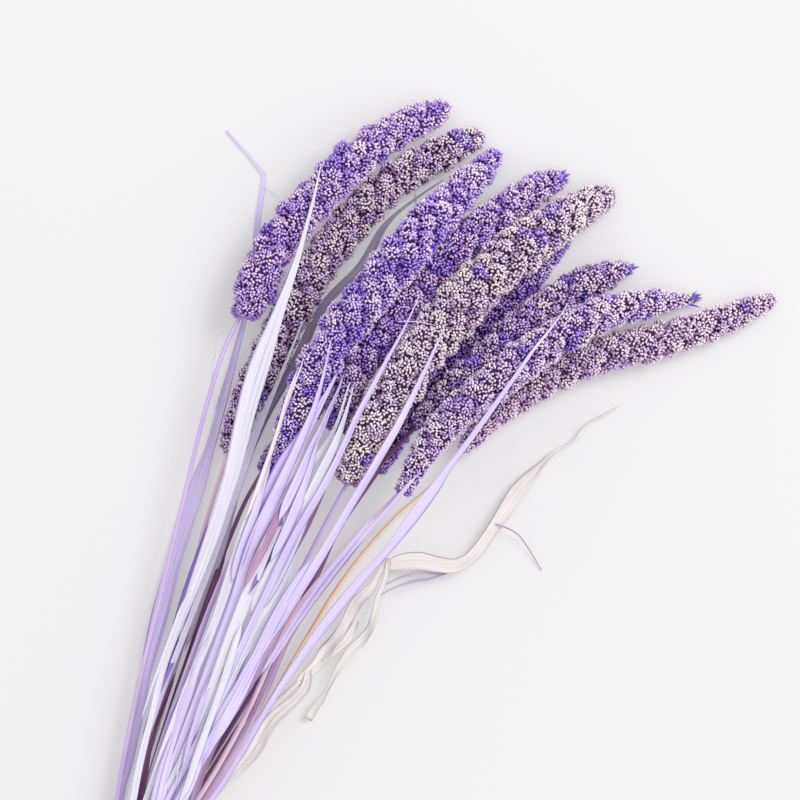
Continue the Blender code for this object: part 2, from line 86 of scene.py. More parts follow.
room = bpy.data.worlds.new("white_room")
room.use_nodes = True
room.node_tree.nodes["Background"].inputs["Color"].default_value = (1.0, 0.985, 0.985, 1.0)
room.node_tree.nodes["Background"].inputs["Strength"].default_value = 0.78
bpy.context.scene.world = room
bpy.context.scene.view_settings.view_transform = "Standard"

camera_data = bpy.data.cameras.new("camera")
camera_data.sensor_width = 36.0
camera_data.lens = 158.4
camera_data.clip_end = 20.0
camera = bpy.data.objects.new("camera", camera_data)
camera.matrix_world = Matrix((
    (0.51, 0.861, 0.0, 0.1374),
    (-0.861, 0.51, 0.0, -0.0044),
    (0.0, 0.0, 1.0, 2.215),
    (0.0, 0.0, 0.0, 1.0),
))
bpy.context.scene.collection.objects.link(camera)
bpy.context.scene.camera = camera


# The stems: ten straws, each grown in one piece with its head, from the cut end to the head's
# base. Each has a swollen joint, fine ribs along it, and its share of the dye bath's colours.
def smooth_route(points, step):
    """A smooth curve through given points, read at even steps, with its directions."""
    points = np.array(points, dtype=float) * MM
    runs = np.linalg.norm(np.diff(points[:, :3], axis=0), axis=1)
    at_points = np.concatenate(([0.0], np.cumsum(runs)))
    slopes = np.diff(points, axis=0) / runs[:, None]
    before, after = runs[:-1, None], runs[1:, None]
    middle = (slopes[:-1] * after + slopes[1:] * before) / (before + after)
    tangents = np.vstack((slopes[:1], middle, slopes[-1:]))
    at = np.linspace(0.0, at_points[-1], max(int(at_points[-1] / step), 2) + 1)
    k = np.clip(np.searchsorted(at_points, at, side="right") - 1, 0, len(runs) - 1)
    span = runs[k, None]
    t = (at[:, None] - at_points[k, None]) / span
    start = (1 + 2 * t) * (1 - t) ** 2 * points[k] + t * (1 - t) ** 2 * span * tangents[k]
    end = t * t * (3 - 2 * t) * points[k + 1] - t * t * (1 - t) * span * tangents[k + 1]
    curve = start + end
    return dict(at=at, centre=curve[:, :3], width=curve[:, 3:], **directions(curve[:, :3]))


def unit(vectors):
    return vectors / np.maximum(np.linalg.norm(vectors, axis=-1, keepdims=True), 1e-9)


def directions(centre):
    """Ahead along a line, to its left side, and up from it, at each of its points."""
    ahead = unit(np.gradient(centre, axis=0))
    side = unit(np.cross((0.0, 0.0, 1.0), ahead))
    return dict(ahead=ahead, side=side, up=np.cross(ahead, side))


def read_line(line, at, *names):
    """Values of a line at given lengths along it."""
    values = []
    for name in names:
        column = line[name]
        values.append(np.stack([np.interp(at, line["at"], column[:, k]) for k in range(column.shape[1])], -1))
    return values


def add_piece(name, vertices, faces, materials, replaced):
    """A closed piece of the bundle, smooth-shaded, riding on its root body."""
    mesh = bpy.data.meshes.new(name)
    mesh.from_pydata(vertices.tolist(), [], faces)
    mesh.shade_smooth()
    for material in materials:
        mesh.materials.append(material)
    piece = bpy.data.objects.new(name, mesh)
    bpy.context.scene.collection.objects.link(piece)
    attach(piece, "root")
    if replaced:
        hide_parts(replaced)
    return piece


def add_values(mesh, name, values):
    """One number for each vertex, for a material to read."""
    mesh.attributes.new(name, "FLOAT", "POINT").data.foreach_set("value", np.asarray(values, np.float32))


def add_node(tree, kind, sockets=None, **settings):
    """A shader node with its settings; a socket takes a value or another node's output."""
    made = tree.nodes.new(kind)
    for name, value in settings.items():
        setattr(made, name, value)
    for key, value in (sockets or {}).items():
        if isinstance(value, bpy.types.NodeSocket):
            tree.links.new(value, made.inputs[key])
        else:
            made.inputs[key].default_value = value
    return made


def mix_colours(tree, factor, first, second):
    sockets = {0: factor, 6: first, 7: second}
    return add_node(tree, "ShaderNodeMix", sockets, data_type="RGBA").outputs[2]


def between(tree, value, low, high, low_out=0.0, high_out=1.0):
    """A value read from low to high, smoothly, as low_out to high_out."""
    sockets = {0: value, 1: low, 2: high, 3: low_out, 4: high_out}
    return add_node(tree, "ShaderNodeMapRange", sockets, interpolation_type="SMOOTHSTEP").outputs[0]


def arithmetic(tree, operation, first, second=0.0):
    return add_node(tree, "ShaderNodeMath", {0: first, 1: second}, operation=operation).outputs[0]


def start_group(name, inputs, outputs):
    """A node group with named sockets; returns it with its input and output nodes."""
    group = bpy.data.node_groups.new(name, "ShaderNodeTree")
    for socket, kind, value in inputs:
        made = group.interface.new_socket(socket, in_out="INPUT", socket_type=kind)
        made.default_value = value
    for socket, kind in outputs:
        group.interface.new_socket(socket, in_out="OUTPUT", socket_type=kind)
    return group, group.nodes.new("NodeGroupInput"), group.nodes.new("NodeGroupOutput")


COLOUR, NUMBER = "NodeSocketColor", "NodeSocketFloat"


def dry_fibre_group():
    """Fine fibres along a straw or leaf, with washed-out and deeply dyed stretches.

    It reads the UV map: U is the length in metres, V runs from edge to edge, 0 to 1.
    """
    group, given, result = start_group(
        "dry_fibre",
        [("Pale", COLOUR, (1, 1, 1, 1)), ("Dyed", COLOUR, (1, 1, 1, 1)), ("Edge", COLOUR, (1, 1, 1, 1)),
         ("Fibres", NUMBER, 9.0), ("Streaks", NUMBER, 0.5), ("Dye", NUMBER, 0.5), ("Edge Width", NUMBER, 0.1)],
        [("Color", COLOUR), ("Height", NUMBER), ("Roughness", NUMBER)])
    place = add_node(group, "ShaderNodeSeparateXYZ", {0: group.nodes.new("ShaderNodeTexCoord").outputs["UV"]})
    along, across = place.outputs[0], place.outputs[1]

    def noise_at(per_metre, per_width, detail, offset):
        spot = add_node(group, "ShaderNodeCombineXYZ", {
            0: arithmetic(group, "MULTIPLY", along, per_metre),
            1: arithmetic(group, "MULTIPLY", across, per_width), 2: offset})
        sockets = {"Vector": spot.outputs[0], "Scale": 1.0, "Detail": detail, "Roughness": 0.6}
        return add_node(group, "ShaderNodeTexNoise", sockets).outputs[0]

    fine = noise_at(24.0, given.outputs["Fibres"], 3.0, 0.0)
    coarse = noise_at(9.0, arithmetic(group, "MULTIPLY", given.outputs["Fibres"], 0.3), 2.0, 7.3)
    wash = noise_at(14.0, 0.8, 2.0, 3.1)
    streak = between(group, arithmetic(group, "ADD", arithmetic(group, "MULTIPLY", fine, 0.6),
                                       arithmetic(group, "MULTIPLY", coarse, 0.4)), 0.44, 0.66)
    streak = arithmetic(group, "MULTIPLY", streak, given.outputs["Streaks"])
    dyed = arithmetic(group, "ADD", arithmetic(group, "SUBTRACT", wash, 0.5), given.outputs["Dye"])
    dyed = between(group, dyed, 0.25, 0.75)
    dyed = arithmetic(group, "MAXIMUM", dyed, streak)
    colour = mix_colours(group, dyed, given.outputs["Pale"], given.outputs["Dyed"])
    to_edge = arithmetic(group, "MINIMUM", across, arithmetic(group, "SUBTRACT", 1.0, across))
    edge = between(group, to_edge, 0.0, given.outputs["Edge Width"], 1.0, 0.0)
    edge = arithmetic(group, "MULTIPLY", edge, between(group, coarse, 0.35, 0.6))
    vein = noise_at(7.0, arithmetic(group, "MULTIPLY", given.outputs["Fibres"], 1.7), 1.0, 12.9)
    vein = arithmetic(group, "MULTIPLY", between(group, vein, 0.56, 0.68), given.outputs["Streaks"])
    colour = mix_colours(group, arithmetic(group, "MAXIMUM", edge, vein), colour, given.outputs["Edge"])
    group.links.new(colour, result.inputs["Color"])
    group.links.new(fine, result.inputs["Height"])
    group.links.new(between(group, fine, 0.3, 0.7, 0.42, 0.62), result.inputs["Roughness"])
    return group


DRY_FIBRE = dry_fibre_group()


def fibre_material(name, pale, dyed, edge, fibres, streaks, dye_share, edge_width, ribs):
    """Straw or leaf: the dry fibre with its own colours, and ribs that stand up along it."""
    material, tree, shader = make_material(name, pale, 0.5)
    fibre = add_node(tree, "ShaderNodeGroup", node_tree=DRY_FIBRE)
    for socket, colour in (("Pale", pale), ("Dyed", dyed), ("Edge", edge)):
        fibre.inputs[socket].default_value = (*colour, 1.0)
    for socket, value in (("Fibres", fibres), ("Streaks", streaks), ("Dye", dye_share),
                          ("Edge Width", edge_width)):
        fibre.inputs[socket].default_value = value
    bump = add_node(tree, "ShaderNodeBump", {"Distance": ribs, "Height": fibre.outputs["Height"]})
    bump.inputs["Strength"].default_value = 0.6
    tree.links.new(fibre.outputs["Color"], shader.inputs["Base Color"])
    tree.links.new(fibre.outputs["Roughness"], shader.inputs["Roughness"])
    tree.links.new(bump.outputs[0], shader.inputs["Normal"])
    shader.inputs["Specular IOR Level"].default_value = 0.35
    return material


def add_uv(mesh, uv):
    """The UV map, from one place for each vertex."""
    layer = mesh.uv_layers.new(name="along_and_across")
    corners = np.zeros(len(mesh.loops), np.int32)
    mesh.loops.foreach_get("vertex_index", corners)
    layer.data.foreach_set("uv", np.asarray(uv, np.float32)[corners].ravel())


STRAW = {
    "lilac": fibre_material("straw_lilac", dye(226, 204, 246), dye(186, 150, 226), dye(150, 110, 190),
                            7.0, 0.6, 0.35, 0.0, 0.0002),
    "pink": fibre_material("straw_pink", dye(238, 214, 228), dye(204, 160, 190), dye(150, 100, 130),
                           7.0, 0.5, 0.4, 0.0, 0.0002),
    "mauve": fibre_material("straw_mauve", dye(196, 160, 182), dye(140, 96, 120), dye(96, 56, 84),
                            7.0, 0.7, 0.6, 0.0, 0.0002),
    "tan": fibre_material("straw_tan", dye(252, 228, 196), dye(238, 196, 170), dye(190, 140, 130),
                          7.0, 0.4, 0.4, 0.0, 0.0002),
    "plum": fibre_material("straw_plum", dye(168, 130, 160), dye(112, 66, 110), dye(80, 40, 80),
                           7.0, 0.7, 0.6, 0.0, 0.0002),
}

# Colour, joint's distance from the cut end, and the route, for each stem
STEMS = {
    1: ("lilac", 222, [(-312.2, 2.8, 9.0), (-270.1, 0.8, 11.2), (-252.2, -0.5, 12.2), (-212.4, -0.1, 13.4),
                       (-170.3, 19.5, 14.5), (-94.8, 46.3, 16.4), (-52.7, 59.4, 17.5), (12.4, 79.4, 19.2),
                       (79.6, 99.3, 20.9), (113.0, 106.3, 21.7), (137, 107.9, 22.2)]),
    2: ("pink", 235, [(-317.0, -1.3, 2.1), (-315.0, -1.3, 6.7), (-312.9, -1.4, 7.4), (-304.9, -1.6, 7.7),
                      (-282.9, -2.3, 8.3), (-234.8, -4.1, 9.6), (-209.0, -2.7, 9.8), (-168.9, 10.9, 10.0),
                      (-124.7, 24.1, 10.2), (-39.5, 47.1, 10.6), (12.5, 61.9, 10.9), (58, 72.4, 11.1)]),
    3: ("lilac", 265, [(-309.2, -6.5, 7.5), (-247.0, -7.5, 11.5), (-212.9, -7.1, 13.8), (-164.2, 5.1, 17.8),
                       (-79.9, 23.5, 25.3), (-4.6, 35.3, 31.9), (37.4, 38.3, 35.6), (70, 41.5, 38.3)]),
    4: ("mauve", 205, [(-314.6, -10.3, 2.2), (-248.4, -10.3, 4.3), (-216.3, -10.2, 5.7), (-160.3, -5.7, 9.2),
                       (-88.2, -2.1, 14.2), (-42.1, 0.4, 17.4), (3.9, 3.9, 20.5), (44.1, 5.7, 23.3),
                       (79.6, 11.8, 25.8), (104.5, 20.7, 27.5)]),
    5: ("lilac", 250, [(-308.0, -13.5, 8.9), (-207.8, -12.2, 14.1), (-149.7, -9.8, 19.3), (-47.6, -8.2, 29.0),
                       (22.5, -5.2, 35.6), (48.5, -3.6, 38.1), (82.5, -2.6, 41.2)]),
    6: ("plum", 260, [(-318.8, -16.9, 2.1), (-314.8, -16.8, 5.7), (-310.7, -16.8, 5.8), (-304.7, -16.6, 6.0),
                      (-282.7, -16.1, 6.6), (-210.6, -15.0, 9.2), (-172.6, -16.2, 11.4), (-104.5, -17.3, 15.8),
                      (-50.4, -18.3, 19.3), (13.6, -16.1, 23.4), (61.4, -11.3, 26.5), (105.2, -15.8, 29.3),
                      (133, -22.2, 31.1)]),
    7: ("pink", 227, [(-311.0, -21.3, 9.5), (-265.0, -19.3, 12.1), (-217.0, -17.9, 15.5), (-179.1, -20.6, 19.0),
                      (-111.1, -23.2, 26.1), (-53.3, -19.1, 32.2), (-33.4, -16.3, 34.3), (-9.5, -15.2, 36.8),
                      (32.1, -21.0, 41.2), (65.4, -28.0, 44.8), (93, -34.6, 47.7)]),
    8: ("tan", 197, [(-315.8, -25.1, 2.1), (-265.8, -22.3, 4.5), (-219.8, -20.5, 6.1), (-172.2, -26.8, 6.6),
                     (-112.4, -31.6, 7.2), (-88.4, -31.3, 7.4), (-18.3, -30.1, 8.1), (15.8, -30.6, 8.4),
                     (73.1, -39.6, 9.0), (107.3, -51.0, 9.3), (133, -54.6, 9.5)]),
    9: ("plum", 275, [(-312.8, -3.9, 3.6), (-254.8, -5.4, 5.1), (-210.9, -5.0, 5.9), (-169.8, 4.4, 6.2),
                      (-74.4, 26.9, 7.0), (7.9, 43.2, 7.6), (35.7, 46.6, 7.9), (58, 46.8, 8.0)]),
    10: ("mauve", 240, [(-314.0, -19.5, 2.1), (-212.0, -16.8, 4.2), (-172.0, -19.1, 4.8), (-106.0, -21.3, 5.9),
                        (-66.0, -21.8, 6.6), (-32.1, -19.7, 7.1), (-8.3, -16.5, 7.5), (35.6, -12.5, 8.3),
                        (96, -15.4, 9.2)]),
}
STRAW_SIDES = 12
STRAW_STEP = 0.0045
CUT_RADIUS = 0.0019
NECK_RADIUS = 0.0013


def tube_rings(line, radius, sides, ovalness=0.0):
    """Rings of points round a line, and the faces of the closed tube through them."""
    angle = np.arange(sides) * 2 * math.pi / sides
    out = (line["side"][:, None] * np.cos(angle)[:, None] * (1 + ovalness)
           + line["up"][:, None] * np.sin(angle)[:, None])
    rings = line["centre"][:, None] + out * radius[:, None, None]
    count = len(rings)
    faces = []
    for k in range(count - 1):
        for j in range(sides):
            n = (j + 1) % sides
            faces.append((k * sides + j, k * sides + n, (k + 1) * sides + n, (k + 1) * sides + j))
    faces.append(tuple(range(sides))[::-1])
    faces.append(tuple(range((count - 1) * sides, count * sides)))
    return rings.reshape(-1, 3), faces


for number, (colour, joint, route) in STEMS.items():
    line = smooth_route(route, STRAW_STEP)
    at = line["at"]
    radius = CUT_RADIUS + (NECK_RADIUS - CUT_RADIUS) * at / at[-1]
    radius = radius * (1 + 0.30 * np.exp(-((at - joint * MM) / 0.0022) ** 2))
    wander = np.array([noise.noise_vector(Vector((a * 9, number * 3.7, 0.5))) for a in at])
    line["centre"] = line["centre"] + wander * (0.0006, 0.0006, 0.0003)
    vertices, faces = tube_rings(line, radius, STRAW_SIDES)
    vertices[:, 2] = np.maximum(vertices[:, 2], 0.0)
    straw = add_piece(f"straw_{number}", vertices, faces, [STRAW[colour]], f"stem_{number}")
    around = np.tile(np.abs(np.linspace(-1, 1, STRAW_SIDES, endpoint=False)), len(at))
    add_uv(straw.data, np.column_stack((np.repeat(at + 0.7 * number, STRAW_SIDES), around)))


# The seed heads: the axis of each is covered all round with ball-shaped lobes, and each lobe is a
# cluster of some fifty hard ovoid grains. The grains are coloured dark between them, partly deep dye
# and partly painted shade, and the dye has left their tips; grains in the crevices between lobes are
# darker as painted shade, and those on the lobes' tops paler, partly from wear and partly as painted
# light. Short stiff bristles stand between the grains, and pointed husks close the tip.
def grain_dye_group():
    """Colour of a grain by the numbers that its vertices carry.

    tip runs from 0 between grains to 1 at the grain's tip, and is lower on grains in the crevices
    between lobes, as painted shade; low tip takes the dark colour between grains, partly deep dye and
    partly painted shade. wear_and_painted_light is how far the dye has left this grain, higher on the
    lobes' tops as painted light, and hue is its place between the bath's two dyes, or below 0 where it
    took the dye deeply.
    """
    group, given, result = start_group(
        "grain_dye",
        [("Gap Dye And Shade", COLOUR, (1, 1, 1, 1)), ("First Dye", COLOUR, (1, 1, 1, 1)),
         ("Second Dye", COLOUR, (1, 1, 1, 1)), ("Deep Dye", COLOUR, (1, 1, 1, 1)),
         ("Lilac Tip", COLOUR, (1, 1, 1, 1)), ("Bare Tip", COLOUR, (1, 1, 1, 1))],
        [("Color", COLOUR), ("Roughness", NUMBER)])
    tip = add_node(group, "ShaderNodeAttribute", attribute_name="tip").outputs["Fac"]
    wear_and_painted_light = add_node(group, "ShaderNodeAttribute", attribute_name="wear_and_painted_light").outputs["Fac"]
    hue = add_node(group, "ShaderNodeAttribute", attribute_name="hue").outputs["Fac"]
    side = mix_colours(group, hue, given.outputs["First Dye"], given.outputs["Second Dye"])
    deep = arithmetic(group, "MULTIPLY", hue, -1.0)
    side = mix_colours(group, between(group, deep, 0.0, 0.8), side, given.outputs["Deep Dye"])
    end = mix_colours(group, between(group, wear_and_painted_light, 0.15, 0.8), given.outputs["Lilac Tip"],
                      given.outputs["Bare Tip"])
    # The pale spot at each grain's tip is bare of dye; it grows with wear_and_painted_light, so on the lobes' tops it
    # is partly painted light.
    reach = arithmetic(group, "SUBTRACT", 0.86, arithmetic(group, "MULTIPLY", wear_and_painted_light, 0.3))
    spot = between(group, arithmetic(group, "SUBTRACT", tip, reach), -0.2, 0.16)
    colour = mix_colours(group, spot, side, end)
    # Between the grains, and on the core, the colour is dark: partly deep dye, partly painted shade.
    colour = mix_colours(group, between(group, tip, 0.0, 0.3), given.outputs["Gap Dye And Shade"], colour)
    group.links.new(colour, result.inputs["Color"])
    group.links.new(between(group, tip, 0.0, 1.0, 0.75, 0.42), result.inputs["Roughness"])
    return group


GRAIN_DYE = grain_dye_group()


def grain_material(number, gap, first, second):
    material, tree, shader = make_material(f"dyed_grain_{number}", first, 0.5)
    bath = add_node(tree, "ShaderNodeGroup", node_tree=GRAIN_DYE)
    colours = {"Gap Dye And Shade": gap, "First Dye": first, "Second Dye": second, "Deep Dye": dye(112, 76, 198),
               "Lilac Tip": dye(222, 198, 248), "Bare Tip": dye(253, 243, 241)}
    for socket, colour in colours.items():
        bath.inputs[socket].default_value = (*colour, 1.0)
    tree.links.new(bath.outputs["Color"], shader.inputs["Base Color"])
    tree.links.new(bath.outputs["Roughness"], shader.inputs["Roughness"])
    shader.inputs["Specular IOR Level"].default_value = 0.4
    return material


# For each head: its route from the base to the tip; its widths in millimetres over the grains, each
# at a share of its length; how thick it is at most, as it lies, and how much less at the tip; how
# many lobes stand in a ring; how bare its grains are at the base and at the tip; the share of its
# lobes that took the dye deeply; its two dyes, how much of the second, and the colour between its
# grains, deep dye with painted shade; the husks that close its tip, with their length and how far
# they spread, in millimetres
HEADS = {
    1: dict(route=[(134.9, 106.3, 22.2), (183.2, 111.0, 23.1), (220.8, 104.2, 23.7), (242.3, 99.2, 23.0),
                   (259.6, 93.9, 19.2), (283.0, 82.4, 12.9), (293.0, 75.9, 10.1), (296.2, 73.5, 8.5),
                   (302.9, 69.0, 7.8), (307.9, 65.7, 5.0), (309.6, 64.7, 1.3)],
            widths=((0, 19), (0.07, 29), (0.2, 30), (0.6, 29.5), (0.75, 26), (0.9, 23), (0.96, 18), (1, 10)),
            thickness=26.5, taper=0.26, lobes=4, bare=(0.34, 0.5), deep=0.1,
            dyes=((176, 142, 236), (196, 148, 214)), second=0.4, gap=(66, 32, 104), husks=(12, 6, 4)),
    2: dict(route=[(55.5, 71.9, 11.1), (83.1, 76.9, 11.2), (109.0, 79.1, 11.2), (140.9, 82.1, 11.2),
                   (214.3, 78.9, 10.1), (244.9, 72.0, 9.3), (278.3, 55.4, 8.1), (291.5, 47.1, 7.6),
                   (297.9, 42.2, 7.0), (302.6, 38.5, 4.4), (304.2, 37.3, 1.1)],
            widths=((0, 15), (0.1, 22), (0.22, 28), (0.5, 28), (0.8, 26.5), (0.9, 25), (0.96, 20), (1, 12)),
            thickness=26.5, taper=0.32, lobes=4, bare=(0.5, 0.66), deep=0.04,
            dyes=((164, 130, 210), (182, 142, 172)), second=0.6, gap=(58, 32, 62), husks=(8, 4, 4)),
    3: dict(route=[(67.4, 41.0, 38.2), (89.0, 45.1, 40.1), (138.8, 49.2, 44.3), (154.7, 48.5, 45.5),
                   (190.3, 44.0, 45.1), (222.0, 38.6, 43.8), (245.6, 34.2, 37.3), (253.5, 32.8, 31.9),
                   (261.5, 31.3, 27.1), (280.8, 25.7, 14.6), (288.7, 24.4, 9.0), (292.6, 23.7, 6.7),
                   (298.5, 22.6, 4.2), (300.5, 22.2, 1.0)],
            widths=((0, 14), (0.1, 24), (0.3, 30), (0.6, 31.5), (0.75, 29), (0.85, 25), (0.95, 18), (1, 11)),
            thickness=26.5, taper=0.34, lobes=4, bare=(0.44, 0.48), deep=0.12,
            dyes=((166, 134, 234), (182, 140, 212)), second=0.3, gap=(62, 30, 104), husks=(10, 5, 4)),
    4: dict(route=[(102.2, 19.9, 27.4), (119.4, 25.5, 28.6), (141.3, 28.6, 30.1), (177.2, 25.5, 29.9),
                   (224.7, 17.6, 27.9), (252.9, 7.1, 25.7), (269.8, 0.8, 23.2), (275.5, -1.1, 20.2),
                   (289.7, -7.8, 13.8), (296.6, -11.9, 9.7), (305.2, -17.3, 7.2), (306.9, -18.3, 5.8),
                   (308.6, -19.3, 1.7)],
            widths=((0, 16), (0.1, 24), (0.4, 27), (0.7, 26), (0.85, 24), (0.93, 22), (0.97, 17), (1, 10)),
            thickness=25.5, taper=0.14, lobes=4, bare=(0.38, 0.44), deep=0.14,
            dyes=((160, 124, 226), (182, 132, 200)), second=0.4, gap=(62, 28, 92), husks=(40, 8, 7)),
    5: dict(route=[(78.5, -3.1, 40.9), (110.2, 1.7, 43.5), (120.2, 2.3, 44.6), (126.2, 2.5, 43.7),
                   (140.2, 2.0, 42.9), (182.0, -2.2, 39.8), (236.6, -14.2, 35.4), (255.6, -20.1, 33.4),
                   (262.9, -23.2, 29.5), (271.8, -27.4, 25.7), (289.5, -36.4, 17.2), (298.2, -41.3, 13.1),
                   (303.4, -44.4, 9.7), (310.2, -48.5, 8.0), (313.6, -50.7, 5.6), (315.3, -51.7, 1.7)],
            widths=((0, 20), (0.1, 27), (0.3, 33), (0.7, 34), (0.82, 30), (0.92, 24), (0.97, 19), (1, 11)),
            thickness=29.5, taper=0.27, lobes=5, bare=(0.66, 0.6), deep=0.03,
            dyes=((172, 140, 208), (188, 156, 180)), second=0.6, gap=(62, 36, 70), husks=(6, 4, 4)),
    6: dict(route=[(130.6, -21.5, 31.0), (157.6, -29.3, 32.8), (186.5, -37.3, 31.0), (217.1, -46.9, 26.4),
                   (237.5, -55.0, 20.2), (260.2, -67.6, 12.4), (266.3, -72.5, 10.1), (270.9, -76.4, 7.6),
                   (278.7, -82.6, 5.7), (280.4, -83.9, 4.5), (281.9, -85.1, 1.1)],
            widths=((0, 13), (0.12, 22), (0.4, 25), (0.75, 24), (0.88, 22), (0.94, 16), (1, 7)),
            thickness=23.5, taper=0.22, lobes=4, bare=(0.42, 0.46), deep=0.08,
            dyes=((154, 120, 212), (174, 128, 178)), second=0.5, gap=(58, 30, 76), husks=(26, 8, 4.5)),
    7: dict(route=[(90.5, -34.5, 47.5), (98.5, -34.4, 48.3), (114.5, -33.2, 49.9), (132.5, -35.0, 51.8),
                   (144.2, -37.4, 52.8), (153.8, -40.2, 54.0), (168.9, -45.6, 52.5), (193.1, -55.2, 47.6),
                   (218.6, -67.0, 37.7), (253.6, -90.5, 21.7), (271.9, -112.0, 10.8),
                   (276.8, -118.4, 7.2), (282.8, -126.4, 4.5), (284.1, -128.0, 3.5),
                   (285.2, -129.6, 0.6)],
            widths=((0, 12), (0.15, 22), (0.4, 27), (0.6, 26), (0.75, 24), (0.85, 21), (0.92, 16), (0.96, 10), (1, 6)),
            thickness=24.0, taper=0.36, lobes=4, bare=(0.5, 0.62), deep=0.06,
            dyes=((158, 122, 218), (174, 130, 184)), second=0.45, gap=(60, 30, 80), husks=(36, 11, 4)),
    8: dict(route=[(131.0, -54.3, 9.5), (164.5, -60.9, 9.8), (203.7, -80.9, 9.9), (247.0, -119.5, 8.6),
                   (265.4, -137.9, 7.7), (290.4, -158.2, 6.4), (303.4, -167.6, 5.6), (309.8, -172.4, 3.1),
                   (311.4, -173.5, 0.4)],
            widths=((0, 10), (0.1, 18), (0.2, 25), (0.5, 26.5), (0.7, 25.5), (0.8, 23), (0.9, 18.5), (0.96, 14), (1, 9)),
            thickness=24.0, taper=0.4, lobes=4, bare=(0.48, 0.6), deep=0.04,
            dyes=((190, 156, 228), (208, 164, 200)), second=0.6, gap=(78, 44, 84), husks=(10, 5, 4)),
    9: dict(route=[(55.7, 46.7, 8.0), (91.6, 44.2, 8.2), (131.2, 38.0, 8.2), (192.2, 27.4, 7.4),
                   (239.0, 16.3, 6.2), (261.6, 8.5, 5.5), (269.0, 5.3, 4.1), (270.8, 4.5, 3.1),
                   (272.6, 3.7, 0.4)],
            widths=((0, 12), (0.15, 19), (0.5, 21), (0.85, 17), (1, 8)),
            thickness=20.5, taper=0.3, lobes=4, bare=(0.3, 0.3), deep=0.1,
            dyes=((150, 114, 226), (160, 116, 188)), second=0.4, gap=(58, 28, 92), husks=(6, 4, 3)),
    10: dict(route=[(93.5, -15.3, 9.2), (123.5, -14.5, 9.7), (157.2, -18.9, 10.3), (227.8, -32.9, 9.1),
                    (253.5, -36.8, 8.2), (265.1, -39.8, 7.8), (272.8, -42.1, 5.9), (274.7, -42.7, 4.7),
                    (276.6, -43.3, 1.2)],
             widths=((0, 12), (0.3, 23), (0.6, 25), (0.85, 19), (1, 8)),
             thickness=25.0, taper=0.25, lobes=4, bare=(0.3, 0.3), deep=0.1,
             dyes=((150, 112, 224), (164, 116, 188)), second=0.3, gap=(58, 28, 92), husks=(6, 4, 3)),
}
LOBE_SHARE = {4: 0.44, 5: 0.39}
ROW_SHARE = {4: 0.60, 5: 0.54}
GRAIN_WIDTH = 0.0020
GRAIN_STANDS_OUT = 0.0018
GRAIN_SIDES = 5
GRAIN_OVAL = 0.20
# Height above the lobe and radius of the points of a grain, from its foot to its tip
GRAIN_PROFILE = ((-0.0004, 0.00075), (0.0011, 0.00098), (0.0023, 0.0))
LOW_GRAIN_PROFILE = ((0.0002, 0.00098), (0.0021, 0.0))
HUSK_PROFILE = ((-0.1, 0.00035), (0.35, 0.00075), (1.0, 0.0))
BRISTLE_PROFILE = ((0.0, 0.00012), (0.0045, 0.0))
CORE_SIDES = 36
CORE_STEP = 0.003


def half_sizes(head, along, length):
    """Half the width and half the height over the lobes: a head lies a little flattened."""
    shares, widths = np.array(head["widths"]).T
    wide = np.interp(along / length, shares, widths) * MM / 2
    to_tip = np.clip((along / length - 0.3) / 0.7, 0.0, 1.0)
    tall = head["thickness"] * MM / 2 * (1.0 - head["taper"] * to_tip ** 1.6)
    return wide - GRAIN_STANDS_OUT, np.minimum(wide, tall) - GRAIN_STANDS_OUT


def place_lobes(head, line, chance):
    """Centre, radius, outward direction and length along the head of each ball-shaped lobe."""
    length = line["at"][-1]
    count = head["lobes"]
    lobes = []
    along, row = 0.002, 0
    while along < length - 0.003:
        usual = float(np.mean(half_sizes(head, along, length)))
        for k in range(count):
            turn = 2 * math.pi * (k + 0.5 * (row % 2)) / count + 0.11 * row + chance.normal(0, 0.11)
            spot = min(max(along + chance.normal(0, 0.12) * usual, 0.0), length)
            wide, tall = np.array(half_sizes(head, spot, length)) * (1 + chance.normal(-0.01, 0.05))
            radius = LOBE_SHARE[count] * (wide + tall) / 2 * (1 + np.clip(chance.normal(0, 0.12), -0.2, 0.2))
            radius = max(radius, 0.0022)
            lobes.append((spot, turn, math.cos(turn) * (wide - radius), math.sin(turn) * (tall - radius), radius))
        along += ROW_SHARE[count] * usual
        row += 1
    lobes.append((length - 0.002, 0.0, 0.0, 0.0, 0.6 * float(half_sizes(head, length - 0.003, length)[0])))
    spots, turns, sideways, upward, radii = np.array(lobes).T
    centre, ahead, side, up = read_line(line, spots, "centre", "ahead", "side", "up")
    outward = side * np.cos(turns)[:, None] + up * np.sin(turns)[:, None]
    outward[-1] = ahead[-1]
    centre = centre + side * sideways[:, None] + up * upward[:, None]
    return dict(along=spots, radius=radii, centre=centre, facing=unit(outward + 0.25 * ahead))


